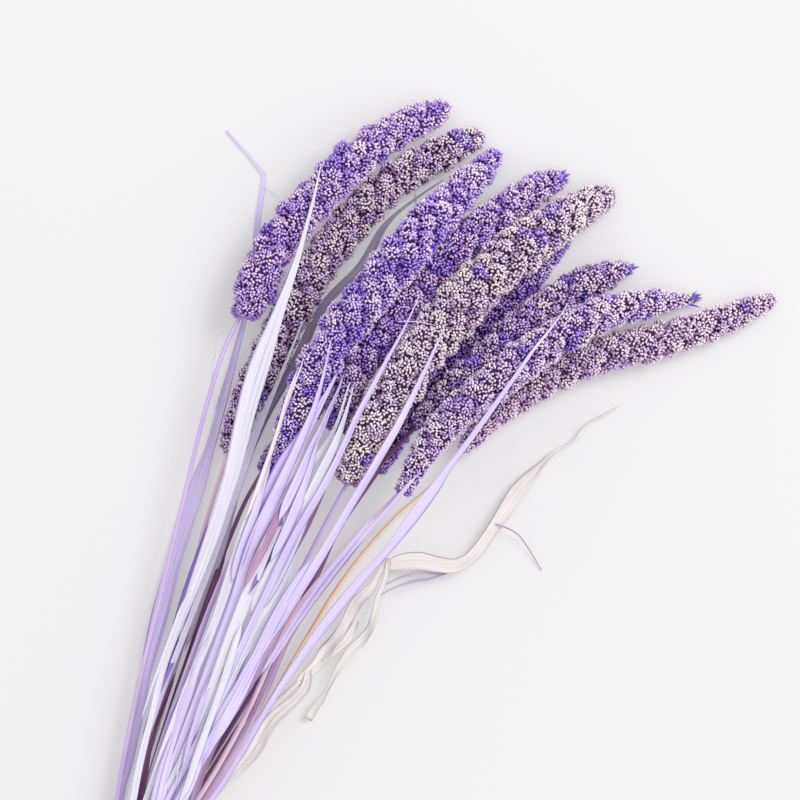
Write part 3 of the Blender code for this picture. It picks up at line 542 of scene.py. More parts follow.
def place_grains(lobes, chance):
    """Foot, direction, and share of the way to its lobe's top, of each grain that shows."""
    feet, ways, tops, owners = [], [], [], []
    waist = GRAIN_PROFILE[1][0]
    for k, (centre, radius, facing) in enumerate(zip(lobes["centre"], lobes["radius"], lobes["facing"])):
        count = int(4 * math.pi * (radius + waist) ** 2 / (0.866 * GRAIN_WIDTH ** 2))
        step = np.arange(count) + 0.5
        height = 1 - 2 * step / count
        turn = step * math.pi * (1 + 5 ** 0.5) + chance.uniform(0, 6.3)
        flat = np.sqrt(1 - height ** 2)
        ball = np.column_stack((flat * np.cos(turn), flat * np.sin(turn), height))
        ball = unit(ball + chance.normal(0, 0.05, ball.shape))
        tilt = np.array(Vector(facing).to_track_quat("Z", "Y").to_matrix())
        ball = ball @ tilt.T
        top = ball @ facing
        shown = top > -0.55
        feet.append(centre + ball[shown] * radius)
        ways.append(ball[shown])
        tops.append(top[shown])
        owners.append(np.full(shown.sum(), k))
    feet, ways = np.vstack(feet), np.vstack(ways)
    tops, owners = np.concatenate(tops), np.concatenate(owners)
    waists = feet + ways * waist
    apart = np.linalg.norm(waists[:, None] - lobes["centre"][None], axis=2)
    inside = apart < lobes["radius"][None] + 0.5 * waist
    inside[np.arange(len(feet)), owners] = False
    clear = ~inside.any(axis=1) & (feet[:, 2] > 0.0008)
    feet, ways, tops, owners, waists = (each[clear] for each in (feet, ways, tops, owners, waists))
    tree = KDTree(len(feet))
    for k, point in enumerate(waists):
        tree.insert(point, k)
    tree.balance()
    kept = np.zeros(len(feet), bool)
    for k in np.argsort(-tops):
        near = tree.find_range(waists[k], 0.72 * GRAIN_WIDTH)
        kept[k] = not any(kept[other] for _, other, _ in near)
    return feet[kept], ways[kept], tops[kept], owners[kept]


def grain_shapes(feet, ways, long_way, width, tall, sides, profile):
    """Points and faces of closed ovoid grains, each on its foot and longest across its long way."""
    count = len(feet)
    turn = np.arange(sides) * 2 * math.pi / sides
    second = unit(np.cross(ways, long_way))
    first = np.cross(second, ways)
    out = (first[:, None] * ((1 + GRAIN_OVAL) * np.cos(turn))[:, None]
           + second[:, None] * ((1 - GRAIN_OVAL) * np.sin(turn))[:, None])
    rings = []
    for height, radius in profile[:-1]:
        rings.append(feet[:, None] + ways[:, None] * (height * tall)[:, None, None]
                     + out * (radius * width)[:, None, None])
    tip = feet + ways * (profile[-1][0] * tall)[:, None]
    points = np.concatenate(rings + [tip[:, None]], axis=1)
    each = points.shape[1]
    pattern = [tuple(range(sides))[::-1]]
    for ring in range(len(rings) - 1):
        for k in range(sides):
            n = (k + 1) % sides
            base = ring * sides
            pattern.append((base + k, base + n, base + sides + n, base + sides + k))
    last = (len(rings) - 1) * sides
    pattern += [(last + k, last + (k + 1) % sides, each - 1) for k in range(sides)]
    faces = [tuple(g * each + k for k in face) for g in range(count) for face in pattern]
    return points.reshape(-1, 3), faces, each


def core_shape(head, line, lobes):
    """The axis with the bodies of its lobes, as one closed surface under the grains."""
    length = line["at"][-1]
    stops = np.linspace(0.0, length, max(int(length / CORE_STEP), 4))
    centre, side, up = read_line(line, stops, "centre", "side", "up")
    angle = np.arange(CORE_SIDES) * 2 * math.pi / CORE_SIDES
    out = side[:, None] * np.cos(angle)[:, None] + up[:, None] * np.sin(angle)[:, None]
    least = 0.5 * np.minimum(*half_sizes(head, stops, length))
    reach = np.broadcast_to(least[:, None], out.shape[:2]).copy()
    for middle, radius in zip(lobes["centre"], lobes["radius"] * 0.97):
        to_middle = middle - centre
        along_ray = np.einsum("ijk,ik->ij", out, to_middle)
        spare = along_ray ** 2 - (np.sum(to_middle ** 2, axis=1) - radius ** 2)[:, None]
        hit = along_ray + np.sqrt(np.maximum(spare, 0.0))
        reach = np.where(spare > 0, np.maximum(reach, hit), reach)
    rings = (centre[:, None] + out * reach[..., None]).reshape(-1, 3)
    count = len(stops)
    faces = []
    for k in range(count - 1):
        for j in range(CORE_SIDES):
            n = (j + 1) % CORE_SIDES
            faces.append((k * CORE_SIDES + j, k * CORE_SIDES + n,
                          (k + 1) * CORE_SIDES + n, (k + 1) * CORE_SIDES + j))
    faces.append(tuple(range(CORE_SIDES))[::-1])
    faces.append(tuple(range((count - 1) * CORE_SIDES, count * CORE_SIDES)))
    return rings, faces


def join_shapes(shapes):
    """Several closed shapes as one list of points and one of faces."""
    points, faces, start = [], [], 0
    for more_points, more_faces in shapes:
        points.append(more_points)
        faces += [tuple(start + k for k in face) for face in more_faces] if start else list(more_faces)
        start += len(more_points)
    return np.vstack(points), faces


def place_husks(head, line, chance):
    """Foot, direction and length of each pointed husk of the tuft that closes a head's tip."""
    count, long, spread = head["husks"]
    back = chance.uniform(0.0, 0.75 * long, count) * MM
    centre, ahead, side, up = read_line(line, line["at"][-1] - back, "centre", "ahead", "side", "up")
    turn = chance.uniform(0, 6.3, count)
    out = side * np.cos(turn)[:, None] + up * np.sin(turn)[:, None]
    off = np.sqrt(chance.uniform(0, 1, count)) * spread * MM * 0.6
    ways = unit(ahead + 0.35 * out * (off / (spread * MM * 0.6))[:, None] + chance.normal(0, 0.10, out.shape))
    return centre + out * off[:, None], ways, chance.uniform(0.6, 1.0, count) * long * MM


def make_head(number, head):
    chance = np.random.default_rng(100 + number)
    line = smooth_route(head["route"], 0.001)
    length = line["at"][-1]
    lobes = place_lobes(head, line, chance)
    feet, ways, tops, owners = place_grains(lobes, chance)
    facing = lobes["facing"][owners]
    along = lobes["along"][owners] / length
    ahead = read_line(line, lobes["along"][owners], "ahead")[0]
    radial = unit(ways - facing * np.sum(ways * facing, axis=1)[:, None]) + chance.normal(0, 0.35, ways.shape)
    ways = unit(ways + 0.18 * ahead + chance.normal(0, 0.12, ways.shape))
    lobe_tone = chance.normal(0, 0.10, len(lobes["radius"]))[owners]
    deep = (chance.random(len(lobes["radius"])) < head["deep"])[owners]
    wear_and_painted_light = head["bare"][0] + (head["bare"][1] - head["bare"][0]) * along
    # Grains nearer their lobe's top lose more dye and those lower down keep more: partly real wear, partly painted
    # light on the tops and painted shade below.
    wear_and_painted_light = wear_and_painted_light + lobe_tone + 0.25 * (tops - 0.6) + chance.normal(0, 0.16, len(feet)) - 0.4 * deep
    hue = head["second"] + 1.5 * lobe_tone + chance.normal(0, 0.22, len(feet))
    hue = np.where(deep, -0.5 + chance.normal(0, 0.25, len(feet)), np.maximum(hue, 0.0))
    width = 1 + np.clip(chance.normal(0, 0.09, len(feet)), -0.2, 0.2)
    tall = 1 + np.clip(chance.normal(0, 0.14, len(feet)), -0.3, 0.35)
    # Grains turned from their lobe's top into the crevices get lower tip values, so darker colour: painted shade.
    painted_crevice_dimming = np.clip((tops + 0.4) / 0.9, 0.3, 1.0)
    low = ways[:, 2] < -0.3
    core = core_shape(head, line, lobes)
    shapes = [core]
    # The core gets tip 0, so it takes the dark colour between grains: deep dye with painted shade.
    values = [np.tile((0.0, 0.0, head["second"]), (len(core[0]), 1))]
    for chosen, sides, profile, levels in (
            (~low, GRAIN_SIDES, GRAIN_PROFILE, (0.1, 0.62, 1.0)),
            (low, 4, LOW_GRAIN_PROFILE, (0.1, 1.0))):
        points, faces, each = grain_shapes(feet[chosen], ways[chosen], radial[chosen], width[chosen],
                                           tall[chosen], sides, profile)
        shapes.append((points, faces))
        levels = np.append(np.repeat(levels[:-1], sides), 1.0)
        tip = np.outer(painted_crevice_dimming[chosen], levels).ravel()
        values.append(np.column_stack((tip, np.repeat(wear_and_painted_light[chosen], each), np.repeat(hue[chosen], each))))
    husk_feet, husk_ways, husk_lengths = place_husks(head, line, chance)
    profile = [(height, radius) for height, radius in HUSK_PROFILE]
    points, faces, each = grain_shapes(husk_feet, husk_ways, chance.normal(0, 1, husk_ways.shape),
                                       np.ones(len(husk_feet)), husk_lengths, 5, profile)
    shapes.append((points, faces))
    tip = np.tile(np.append(np.repeat((0.3, 0.6), 5), 0.75), len(husk_feet))
    values.append(np.column_stack((tip, np.full(len(tip), -0.2), np.repeat(chance.uniform(-1, -0.5, len(husk_feet)), each))))
    bristled = chance.random(len(feet)) < 0.06
    count = int(bristled.sum())
    points, faces, each = grain_shapes(feet[bristled], unit(ways[bristled] + chance.normal(0, 0.3, (count, 3))),
                                       radial[bristled], np.ones(count), chance.uniform(0.7, 1.2, count), 3,
                                       BRISTLE_PROFILE)
    shapes.append((points, faces))
    values.append(np.tile((0.5, -0.2, 0.2), (len(points), 1)))
    points, faces = join_shapes(shapes)
    points[:, 2] = np.maximum(points[:, 2], 0.0)
    first, second = head["dyes"]
    material = grain_material(number, dye(*head["gap"]), dye(*first), dye(*second))
    piece = add_piece(f"head_{number}", points, faces, [material], f"seed_head_{number}")
    for name, column in zip(("tip", "wear_and_painted_light", "hue"), np.vstack(values).T):
        add_values(piece.data, name, column)
    return len(feet), int(low.sum())


for number, head in HEADS.items():
    print("head", number, make_head(number, head))


# The leaf blades and sheaths: long dry leaves that grew round the straws, dyed with them. They are
# paper-thin, and they lie flat, rolled or folded where they dried, held by the band with the straws.
LEAF = {
    "white": fibre_material("leaf_white", dye(240, 239, 248), dye(212, 204, 240), dye(160, 140, 208),
                            10.0, 0.5, 0.2, 0.12, 0.0003),
    "lavender": fibre_material("leaf_lavender", dye(232, 222, 252), dye(200, 180, 244), dye(134, 98, 206),
                               10.0, 0.55, 0.3, 0.14, 0.0003),
    "violet": fibre_material("leaf_violet", dye(184, 156, 224), dye(128, 88, 192), dye(84, 44, 152),
                             8.0, 0.7, 0.5, 0.2, 0.0003),
    "mauve": fibre_material("leaf_mauve", dye(220, 190, 220), dye(172, 128, 176), dye(104, 60, 120),
                            8.0, 0.7, 0.45, 0.16, 0.0003),
    # The plum leaf colour serves only the dark shreds laid in the gaps between strips: partly leaf, partly painted
    # shade.
    "plum": fibre_material("leaf_plum_and_painted_shade", dye(158, 116, 150), dye(104, 58, 98), dye(64, 26, 66),
                           8.0, 0.7, 0.6, 0.2, 0.0003),
    "grey": fibre_material("leaf_grey", dye(214, 206, 222), dye(168, 154, 188), dye(116, 92, 146),
                           9.0, 0.7, 0.4, 0.12, 0.0003),
    "beige": fibre_material("leaf_beige", dye(240, 236, 230), dye(226, 216, 220), dye(172, 146, 166),
                            12.0, 0.5, 0.3, 0.12, 0.0003),
    "cream": fibre_material("leaf_cream", dye(250, 242, 238), dye(232, 212, 230), dye(170, 140, 180),
                            6.0, 0.5, 0.3, 0.12, 0.0002),
}
LEAF_THICKNESS = 0.00024
LEAF_STEP = 0.003


def leaf_shape(line, roll, seed, wrinkle=0.0004, lanes=7, turn=None):
    """Points, faces and UV of a thin closed strip that is rolled across by an angle, edges up."""
    at, centre, side, up = line["at"], line["centre"], line["side"], line["up"]
    rows = len(at)
    if turn is not None:
        turned = np.interp(at / at[-1], np.linspace(0, 1, len(turn)), np.radians(turn))[:, None]
        side, up = (side * np.cos(turned) + up * np.sin(turned),
                    up * np.cos(turned) - side * np.sin(turned))
    across = np.linspace(-1.0, 1.0, lanes)
    drift = np.array([[noise.noise(Vector((a * 26, seed * 5.1, 0.3))),
                       noise.noise(Vector((a * 40, seed * 5.1, 4.7)))] for a in at])
    half = 0.5 * line["width"][:, 0] * (1 + 0.16 * drift[:, 0])
    rolled = np.maximum(np.abs(roll * (1 + 0.5 * drift[:, 1])), 0.05)[:, None] / 2
    angle = rolled * across
    out = np.sin(angle) / np.sin(np.minimum(rolled, math.pi / 2)) * half[:, None]
    rise = math.copysign(1.0, roll) * (1 - np.cos(angle)) / np.sin(np.minimum(rolled, math.pi / 2))
    rise = rise * half[:, None]
    small = np.minimum(half / 0.003, 1.0)
    for k in range(rows):
        for j in range(lanes):
            spot = Vector((at[k] * 55, across[j] * 1.3, seed * 2.3))
            rise[k, j] += wrinkle * small[k] * noise.noise(spot)
            spot = Vector((at[k] * 160, across[j] * 2.2, seed * 2.3 + 9))
            rise[k, j] += 0.35 * wrinkle * small[k] * noise.noise(spot)
    surface = centre[:, None] + side[:, None] * out[..., None] + up[:, None] * rise[..., None]
    facing = up[:, None] * (LEAF_THICKNESS / 2)
    points = np.concatenate(((surface + facing).reshape(-1, 3), (surface - facing).reshape(-1, 3)))
    points[:, 2] = np.maximum(points[:, 2], 0.0002)
    under = rows * lanes
    faces = []
    for k in range(rows - 1):
        for j in range(lanes - 1):
            a, b = k * lanes + j, (k + 1) * lanes + j
            faces += [(a, b, b + 1, a + 1), (under + a, under + a + 1, under + b + 1, under + b)]
        for j, forward in ((0, True), (lanes - 1, False)):
            a, b = k * lanes + j, (k + 1) * lanes + j
            wall = (a, under + a, under + b, b)
            faces.append(wall if forward else wall[::-1])
    for k, forward in ((0, False), (rows - 1, True)):
        for j in range(lanes - 1):
            a = k * lanes + j
            wall = (a, under + a, under + a + 1, a + 1)
            faces.append(wall if forward else wall[::-1])
    uv = np.column_stack((np.repeat(at + 0.37 * seed, lanes), np.tile((across + 1) / 2, rows)))
    return points, faces, np.vstack((uv, uv))


def add_leaf(name, line, colour, roll, seed, replaced, slot, **settings):
    points, faces, uv = leaf_shape(line, roll, seed, **settings)
    leaf = add_piece(name, points, faces, [LEAF[colour]], replaced)
    add_uv(leaf.data, uv)
    return leaf


# Colour, slot, roll in radians (edges up if positive), and the route with its widths
LEAVES = {
    "blade_between_heads": ("grey", "leaf_mauve", 1.2, [
        (-313.4, -5.0, 0.6, 3.2), (-275.3, -5.8, 1.5, 3.2), (-249.2, -6.5, 2.1, 3.2),
        (-209.4, -5.0, 2.4, 3.3), (-175.3, 7.4, 2.3, 3.9), (-138.6, 17.8, 2.2, 4.1),
        (-99.6, 27.1, 2.1, 4.0), (-39.1, 41.2, 2.0, 4.6), (81.2, 62.6, 1.6, 5.0),
        (137.3, 65.3, 1.5, 5.6), (151.3, 67.0, 1.5, 5.6), (167.3, 66.5, 1.4, 5.2),
        (199.7, 59.3, 1.3, 5.8), (212.6, 59.4, 1.3, 5.6), (222.0, 60.0, 1.2, 4.6),
        (234.0, 58.1, 1.2, 2.6), (252.6, 51.1, 1.2, 1.4), (270.6, 42.7, 1.1, 0.6)]),
    "blade_bent_left": ("lavender", "leaf_lavender", 0.9, [
        (-313.4, 1.0, 0.6, 3.2), (-255.3, -1.6, 2.7, 3.2), (-215.4, -2.0, 3.7, 3.4),
        (-190, 6.0, 4.0, 4.2), (-168, 19.0, 4, 4.8), (-137, 29.3, 3.8, 6.2), (-107.9, 39.2, 3.6, 6.9),
        (-92.7, 45.0, 3.5, 6.4), (-84.5, 48.0, 3.4, 8.1), (-70.8, 52.2, 3.3, 9.4), (-46, 59.5, 3.2, 10.4),
        (-21, 66.4, 3, 9.4), (1.9, 72.0, 2.8, 10), (25.1, 77.3, 2.6, 10), (46.3, 81.9, 2.5, 5.8),
        (57.9, 84.8, 2.4, 5.6), (79.3, 91.0, 2.3, 5.6), (96.4, 95.6, 2.2, 4.4), (113.5, 100.5, 2.1, 3.8),
        (131.8, 105.7, 2, 3.1), (148.8, 111.4, 1.8, 3.1), (164.5, 118.7, 1.7, 3.1),
        (178.8, 125.5, 1.6, 3.6), (191.6, 131.2, 1.5, 3.4), (202.6, 135.4, 1.4, 3.1),
        (212, 139.3, 1.4, 2.6), (216.3, 142.0, 1.3, 2.2), (217.8, 146.4, 1.3, 1.9),
        (220.9, 154.6, 1.3, 1.7), (224.3, 165.1, 1.2, 1.5), (227.6, 175.6, 1.1, 1.2)]),
    "sheath_right": ("mauve", "leaf_mauve", -1.9, [
        (-313.4, -23.0, 6.4, 3.2), (-267.3, -20.8, 8.8, 3.2), (-217.3, -19.1, 11.5, 3.2),
        (-177.4, -23.4, 13.9, 4.7), (-105.4, -27.2, 18.7, 5.0), (-51.5, -22.9, 22.3, 5.0),
        (-29.6, -19.8, 23.8, 4.9), (4.4, -20.5, 25.7, 5.9), (14.4, -21.6, 25.2, 6.0),
        (24.3, -22.8, 20.3, 6.1), (34.2, -24.3, 16.4, 6.0), (52.0, -27.3, 9.4, 4.4),
        (71.6, -31.3, 1.1, 1.6)]),
    "sheath_left": ("violet", "leaf_mauve", -1.5, [
        (-313.4, -2.7, 10.4, 3.2), (-273.2, -3.8, 12.8, 3.2), (-251.0, -4.7, 14.1, 3.2),
        (-211.0, -3.9, 16.5, 3.3), (-174.5, 7.8, 17.3, 4.8), (-128.2, 21.8, 16.4, 5.9),
        (-80.0, 36.2, 15.6, 6.0), (-33.6, 49.3, 14.4, 5.5), (-8.0, 55.0, 13.8, 4.0),
        (11.6, 58.7, 13.1, 1.4)]),
    "sheath_centre": ("white", "leaf_white", -1.2, [
        (-313.4, -8.2, 8.1, 3.2), (-299.3, -8.3, 11.1, 3.2), (-281.2, -8.5, 12.7, 3.2),
        (-237.0, -8.9, 16.3, 3.2), (-216.9, -8.7, 17.8, 3.3), (-175.3, -1.6, 21.0, 6.4),
        (-119.9, 8.5, 25.4, 10.9), (-85.0, 14.0, 28.2, 12.6), (-52.4, 19.8, 30.7, 14.4),
        (-28.7, 24.1, 32.6, 14.3), (-14.7, 25.5, 33.2, 13.3), (-6.7, 26.0, 32.2, 12.4),
        (1.3, 26.3, 27.5, 11.3), (13.4, 26.8, 22.5, 9.8), (38.0, 27.3, 12.0, 6.0),
        (63.6, 27.7, 1.1, 1.6)]),
    "blade_low_left": ("white", "leaf_lavender", 1.2, [
        (-313.4, -1.6, 12.0, 3.2), (-271.3, -2.9, 14.7, 3.2), (-251.3, -3.8, 16.0, 3.2),
        (-215.4, -3.8, 18.1, 3.2), (-169.9, 12.3, 19.4, 3.5), (-99.9, 29.4, 19.8, 4.0),
        (-30.8, 41.3, 20.2, 4.2), (14.0, 49.6, 20.4, 5.0), (42.0, 55.4, 20.6, 5.2), (73.3, 61.9, 20.8, 4.4),
        (106.5, 66.6, 20.9, 2.6), (148.6, 72.7, 21.1, 0.7)]),
    "blade_forked_left": ("white", "leaf_white", 1.1, [
        (-313.4, -7.4, 11.7, 3.2), (-249.3, -8.1, 17.3, 3.2), (-211.3, -7.4, 20.9, 3.2),
        (-174.2, 1.4, 24.8, 3.4), (-117.2, 12.5, 31.1, 4.4), (-81.6, 18.2, 35.0, 5.2),
        (-32.0, 25.4, 40.4, 6.4), (-6.0, 31.0, 43.1, 6.9), (16.7, 36.0, 45.8, 6.6),
        (40.0, 41.4, 48.3, 5.0), (61.7, 46.0, 50.8, 3.4), (89.1, 52.0, 53.9, 2.4),
        (126.6, 58.7, 56.1, 0.8)]),
    "blade_forked_middle": ("lavender", "leaf_lavender", 1.2, [
        (-313.4, -9.4, 13.4, 3.2), (-241.3, -9.7, 19.8, 3.2), (-223.2, -9.7, 21.5, 3.2),
        (-199.3, -7.9, 23.9, 3.1), (-181.5, -5.2, 25.7, 3.2), (-149.7, -0.8, 29.0, 4.0),
        (-90.0, 8.4, 35.2, 5.4), (-29.1, 18.6, 41.6, 7.4), (17.9, 28.4, 46.5, 8.6),
        (50.0, 32.0, 49.8, 7.6), (80.0, 35.0, 53.0, 5.6), (105.4, 38.3, 55.6, 3.4),
        (126.8, 43.7, 57.8, 1.9), (147.6, 50.7, 60.0, 0.7)]),
    "blade_forked_right": ("white", "leaf_lavender", 1.1, [
        (-313.4, -11.7, 15.0, 3.2), (-249.1, -11.3, 20.9, 3.2), (-217.0, -11.2, 24.1, 3.2),
        (-169.2, -5.4, 29.3, 3.2), (-107.3, 0.7, 35.8, 4.4), (-62.0, 7.6, 40.4, 6.0),
        (-18.1, 14.8, 44.7, 8.2), (7.5, 19.0, 47.2, 8.4), (23.3, 20.9, 48.5, 7.6), (40.3, 21.6, 47.7, 6.4),
        (73.4, 22.0, 46.4, 4.4), (99.5, 21.0, 45.2, 2.6), (130.6, 27.7, 43.8, 0.7)]),
    "blade_narrow_left": ("lavender", "leaf_lavender", 1.5, [
        (-313.4, -14.3, 16.7, 3.2), (-245.3, -13.2, 23.2, 3.2), (-209.3, -12.6, 27.0, 3.2),
        (-165.5, -8.0, 32.0, 3.0), (-101.6, -3.6, 38.3, 3.8), (-24.0, 4.2, 45.2, 4.6), (31.7, 8.7, 50.1, 4.9),
        (71.8, 9.3, 53.6, 4.3), (105.7, 12.0, 56.4, 3.8), (113.7, 12.9, 57.4, 3.7),
        (127.6, 13.8, 56.1, 3.4), (139.7, 14.4, 54.9, 2.8), (157.7, 15.2, 51.5, 2.0),
        (177.0, 15.8, 47.6, 1.4), (199.6, 18.2, 42.7, 0.6)]),
    "blade_narrow_right": ("lavender", "leaf_lavender", 1.5, [
        (-313.4, -16.1, 18.3, 3.2), (-239.2, -14.3, 25.7, 3.2), (-171.0, -13.4, 33.0, 3.0),
        (-107.0, -10.4, 39.9, 3.8), (-64.4, -10.6, 43.3, 4.2), (-38.8, -9.8, 45.7, 4.8),
        (-4.4, -10.8, 48.3, 5.3), (33.8, -11.5, 51.6, 5.6), (69.6, -11.2, 54.8, 5.6), (87, -11.5, 56.2, 5.3),
        (104.4, -11.4, 57.4, 5), (120.3, -11.3, 57.9, 4.4), (137.6, -10.3, 57.1, 3.6),
        (153.5, -9.0, 56.5, 2.8), (169.9, -7.5, 55.9, 2.0), (180.8, -6.2, 55.5, 1.4),
        (189.1, -5.4, 55.1, 0.6)]),
    "blade_broad_white": ("white", "leaf_white", 0.8, [
        (-313.4, -4.5, 13.6, 3.2), (-249.3, -6.0, 20.5, 3.2), (-219.3, -6.3, 23.4, 3.2),
        (-201.6, -3.5, 24.8, 3.4), (-168.8, 8.6, 27.6, 4.4), (-135.4, 20.6, 28.7, 4.4),
        (-107.0, 29.2, 29.6, 4.0), (-78.7, 37.9, 30.3, 4.4), (-56.1, 42.1, 30.9, 5),
        (-40.3, 44.4, 31.3, 6.2), (-22.1, 47.6, 31.8, 7.5), (-8, 50.2, 32.2, 8.1), (8.8, 53.4, 32.6, 8.8),
        (26.8, 57.5, 33.2, 8.8), (44.4, 61.9, 33.6, 9.4), (65.2, 68.4, 34.3, 10.6),
        (81.1, 73.5, 34.7, 11.9), (97.4, 78, 35.2, 12.5), (115.3, 82.1, 35.6, 11.9),
        (131.6, 85.2, 36.1, 10), (147.9, 88.3, 36.5, 7.8), (165.1, 91.5, 36.9, 5.3),
        (182, 95.2, 37.4, 3.4), (198.2, 99.6, 37.8, 2.5), (213.6, 103.9, 38.2, 1.9),
        (227, 108.3, 36.3, 1.2), (238.6, 112.4, 29, 0.6)]),
    "blade_white_right": ("lavender", "leaf_white", 1.3, [
        (-313.4, -24.2, 11.6, 3.2), (-295.4, -23.3, 13.2, 3.2), (-267.4, -21.8, 15.1, 3.2),
        (-221.4, -19.8, 18.8, 3.2), (-185.6, -23.8, 22.4, 3.0), (-121.9, -31.0, 29.7, 3.2),
        (-89.9, -31.6, 33.3, 3.4), (-68.8, -31.2, 35.7, 3.6), (-50.2, -31.6, 37.7, 4.2),
        (-31, -32.9, 40, 5.6), (-13.5, -34.2, 42, 6.2), (2, -35.9, 43.9, 6.6), (16.2, -37.7, 45.6, 6.2),
        (30.6, -40.1, 47.4, 5.6), (44.9, -43.2, 48.7, 5), (59.3, -45.6, 50.4, 5.6),
        (75.7, -47.5, 52.3, 6.6), (91.3, -49.2, 54.2, 6.9), (104, -50.6, 55.4, 6.4), (115, -51.1, 57.1, 4.6),
        (123.4, -51.9, 57.8, 3.8), (135.9, -53.3, 59.3, 3.8), (152.8, -54.9, 61.2, 3.6),
        (171.7, -56.5, 62.3, 2.9), (187.8, -57.9, 61, 2.4), (204.7, -59.1, 57.3, 1.9),
        (218.6, -61.2, 50, 1.4), (232.2, -63.0, 38.4, 0.9), (242.6, -63.6, 29.3, 0.6)]),
}
for seed, (name, (colour, slot, roll, route)) in enumerate(LEAVES.items()):
    add_leaf(name.replace("blade", "leaf_blade").replace("sheath", "leaf_sheath"),
             smooth_route(route, LEAF_STEP), colour, roll, seed, name, slot)


# The curly ribbon: one long leaf that dried in folds. It comes out of the bundle as two crinkled
# runs round small gaps, turns over, goes off flat to the right, and twists up to its fine tip.
RIBBON_RUNS = {
    "held": ("beige", 1.6, (0, 0), [
        (-313.4, -27.1, 5.2, 3.2), (-267.3, -24.2, 7.4, 3.2), (-227.3, -21.7, 8.9, 3.2),
        (-205.3, -23.1, 9.3, 3.4), (-181.5, -27.0, 9.8, 5.0), (-147.1, -29.7, 10.4, 6.8),
        (-136.7, -30.1, 10.6, 5.2), (-128.4, -31.8, 10.7, 3.8), (-120.5, -32.9, 10.9, 4.4),
        (-111.6, -35.6, 11, 6.2), (-103.3, -37.3, 11.2, 7.5), (-94.3, -37.7, 11.3, 8.8),
        (-84.6, -37, 11.5, 8.8), (-74.7, -37.7, 11.6, 8.1), (-65.8, -40.5, 11.8, 7.5),
        (-56.6, -43.7, 11.8, 6.2), (-46.4, -45, 11.5, 6.2), (-36.7, -41.2, 11.2, 4.4)]),
    "held_fold": ("beige", -1.5, (0, 25, -20, 15), [
        (-135.2, -26.4, 11.6, 3.8), (-124.7, -28.1, 11.8, 3.8), (-114.7, -28, 12, 5),
        (-104.2, -28.3, 12.2, 5.6), (-93.5, -29.3, 12.3, 5), (-81.1, -30.6, 12.5, 4.4),
        (-69.1, -33.7, 12.7, 3.8), (-58, -36.5, 12.8, 3.8), (-46.2, -40.5, 12.5, 3.1)]),
    "left_run": ("beige", 1.4, (0, 30, -35, 20, -25, 40, 10), [
        (-49.1, -40.5, 11.9, 3.0), (-45.1, -40.3, 11.7, 5.6), (-37.9, -42.1, 11.3, 6.9),
        (-28.8, -44, 11, 7.5), (-20, -45.3, 10.7, 9.4), (-8.5, -46.5, 10.3, 7.5), (2.2, -46, 10, 6.9),
        (14, -46.3, 9.7, 8.1), (26.7, -48.2, 9.3, 5.6), (36.8, -48, 9, 3.1), (48.6, -48.3, 8.6, 3.1)]),
    "right_run": ("beige", 1.5, (10, -30, 25, -20, 35, -30), [
        (47.8, -49.5, 9.2, 3.1), (35.8, -53.7, 9.4, 3.1), (24.4, -55.4, 9.6, 3.8), (15.4, -58.5, 9.6, 4.4),
        (5.5, -61.5, 9.4, 5.6), (-4.4, -60.8, 9.0, 6.2), (-12.7, -57.7, 9.4, 5.6), (-21.7, -57.2, 9.2, 5.6),
        (-31.3, -57.1, 8.6, 3.8), (-41.6, -58.1, 7.8, 3.1), (-48.9, -58.1, 6.8, 3.8), (-56.8, -56.9, 5.2, 5),
        (-64.9, -56.7, 3.6, 5)]),
    "cross": ("beige", 1.2, (20, -20, 20), [
        (4.7, -51.3, 10.8, 3.8), (-2.6, -52.3, 11, 5), (-9.9, -52.2, 11.2, 5.6), (-17, -49.9, 11.2, 4.2),
        (-28.3, -46.7, 11.4, 3.1)]),
    "flat_run": ("beige", 0.5, (20, 0, -8, 10, 30, 10, 0, -20, 30, 60, 20), [
        (46.3, -45.8, 9.8, 3.8), (45.6, -51.4, 9.3, 8.1), (49.4, -55.8, 8.9, 10),
        (56.2, -64.9, 8.1, 10.6), (60.8, -77.4, 7.7, 9.4), (65.6, -86.9, 7.4, 8.1), (73, -92, 7.2, 7.2),
        (81.6, -94.2, 7, 8.1), (94.6, -95.2, 6.5, 8.8), (110.3, -96.1, 6.1, 9.4), (126.9, -97.1, 5.6, 10),
        (138.6, -99.7, 5.2, 8.1), (148.6, -101.8, 4.9, 4.4), (158.9, -104.4, 4.5, 2.2),
        (165.6, -108.4, 4.2, 1.4), (171.2, -111.6, 4, 1.9), (181.3, -112.9, 3.7, 3.1),
        (187.7, -115, 3.6, 2.5), (192.4, -118, 3.3, 1.9), (200.3, -122.7, 3, 1.2), (204.6, -125.0, 2.9, 0.5)]),
    "strand_1": ("grey", 1.0, (0, 0), [
        (31.9, -54.5, 9.1, 0.9), (40.5, -60.4, 8.8, 1.2), (49.8, -68.7, 8.2, 1.9), (55.6, -79.8, 7.7, 1.6),
        (62.7, -87.4, 7.3, 0.9)]),
    "strand_2": ("grey", 1.0, (0, 0), [
        (25.3, -55.6, 9.3, 0.9), (34.7, -61.6, 9, 1.2), (43.3, -68.9, 8.4, 2), (50.7, -77.6, 7.9, 1.6),
        (63.1, -87.9, 7.3, 0.9)]),
    "side_strand": ("mauve", 1.0, (0, 0), [
        (94.5, -95.2, 6.7, 0.8), (99.0, -92.5, 7.0, 0.9), (101.9, -100.3, 6.8, 0.9),
        (102.6, -110.1, 5.2, 0.8), (97.6, -122.5, 2.8, 0.8), (90.7, -135.3, 0.8, 0.6)]),
}
for seed, (name, (colour, roll, turn, route)) in enumerate(RIBBON_RUNS.items()):
    add_leaf("ribbon_" + name, smooth_route(route, 0.0022), colour, roll, 20 + seed,
             "ribbon_curly", "leaf_beige", wrinkle=0.0014, turn=turn)


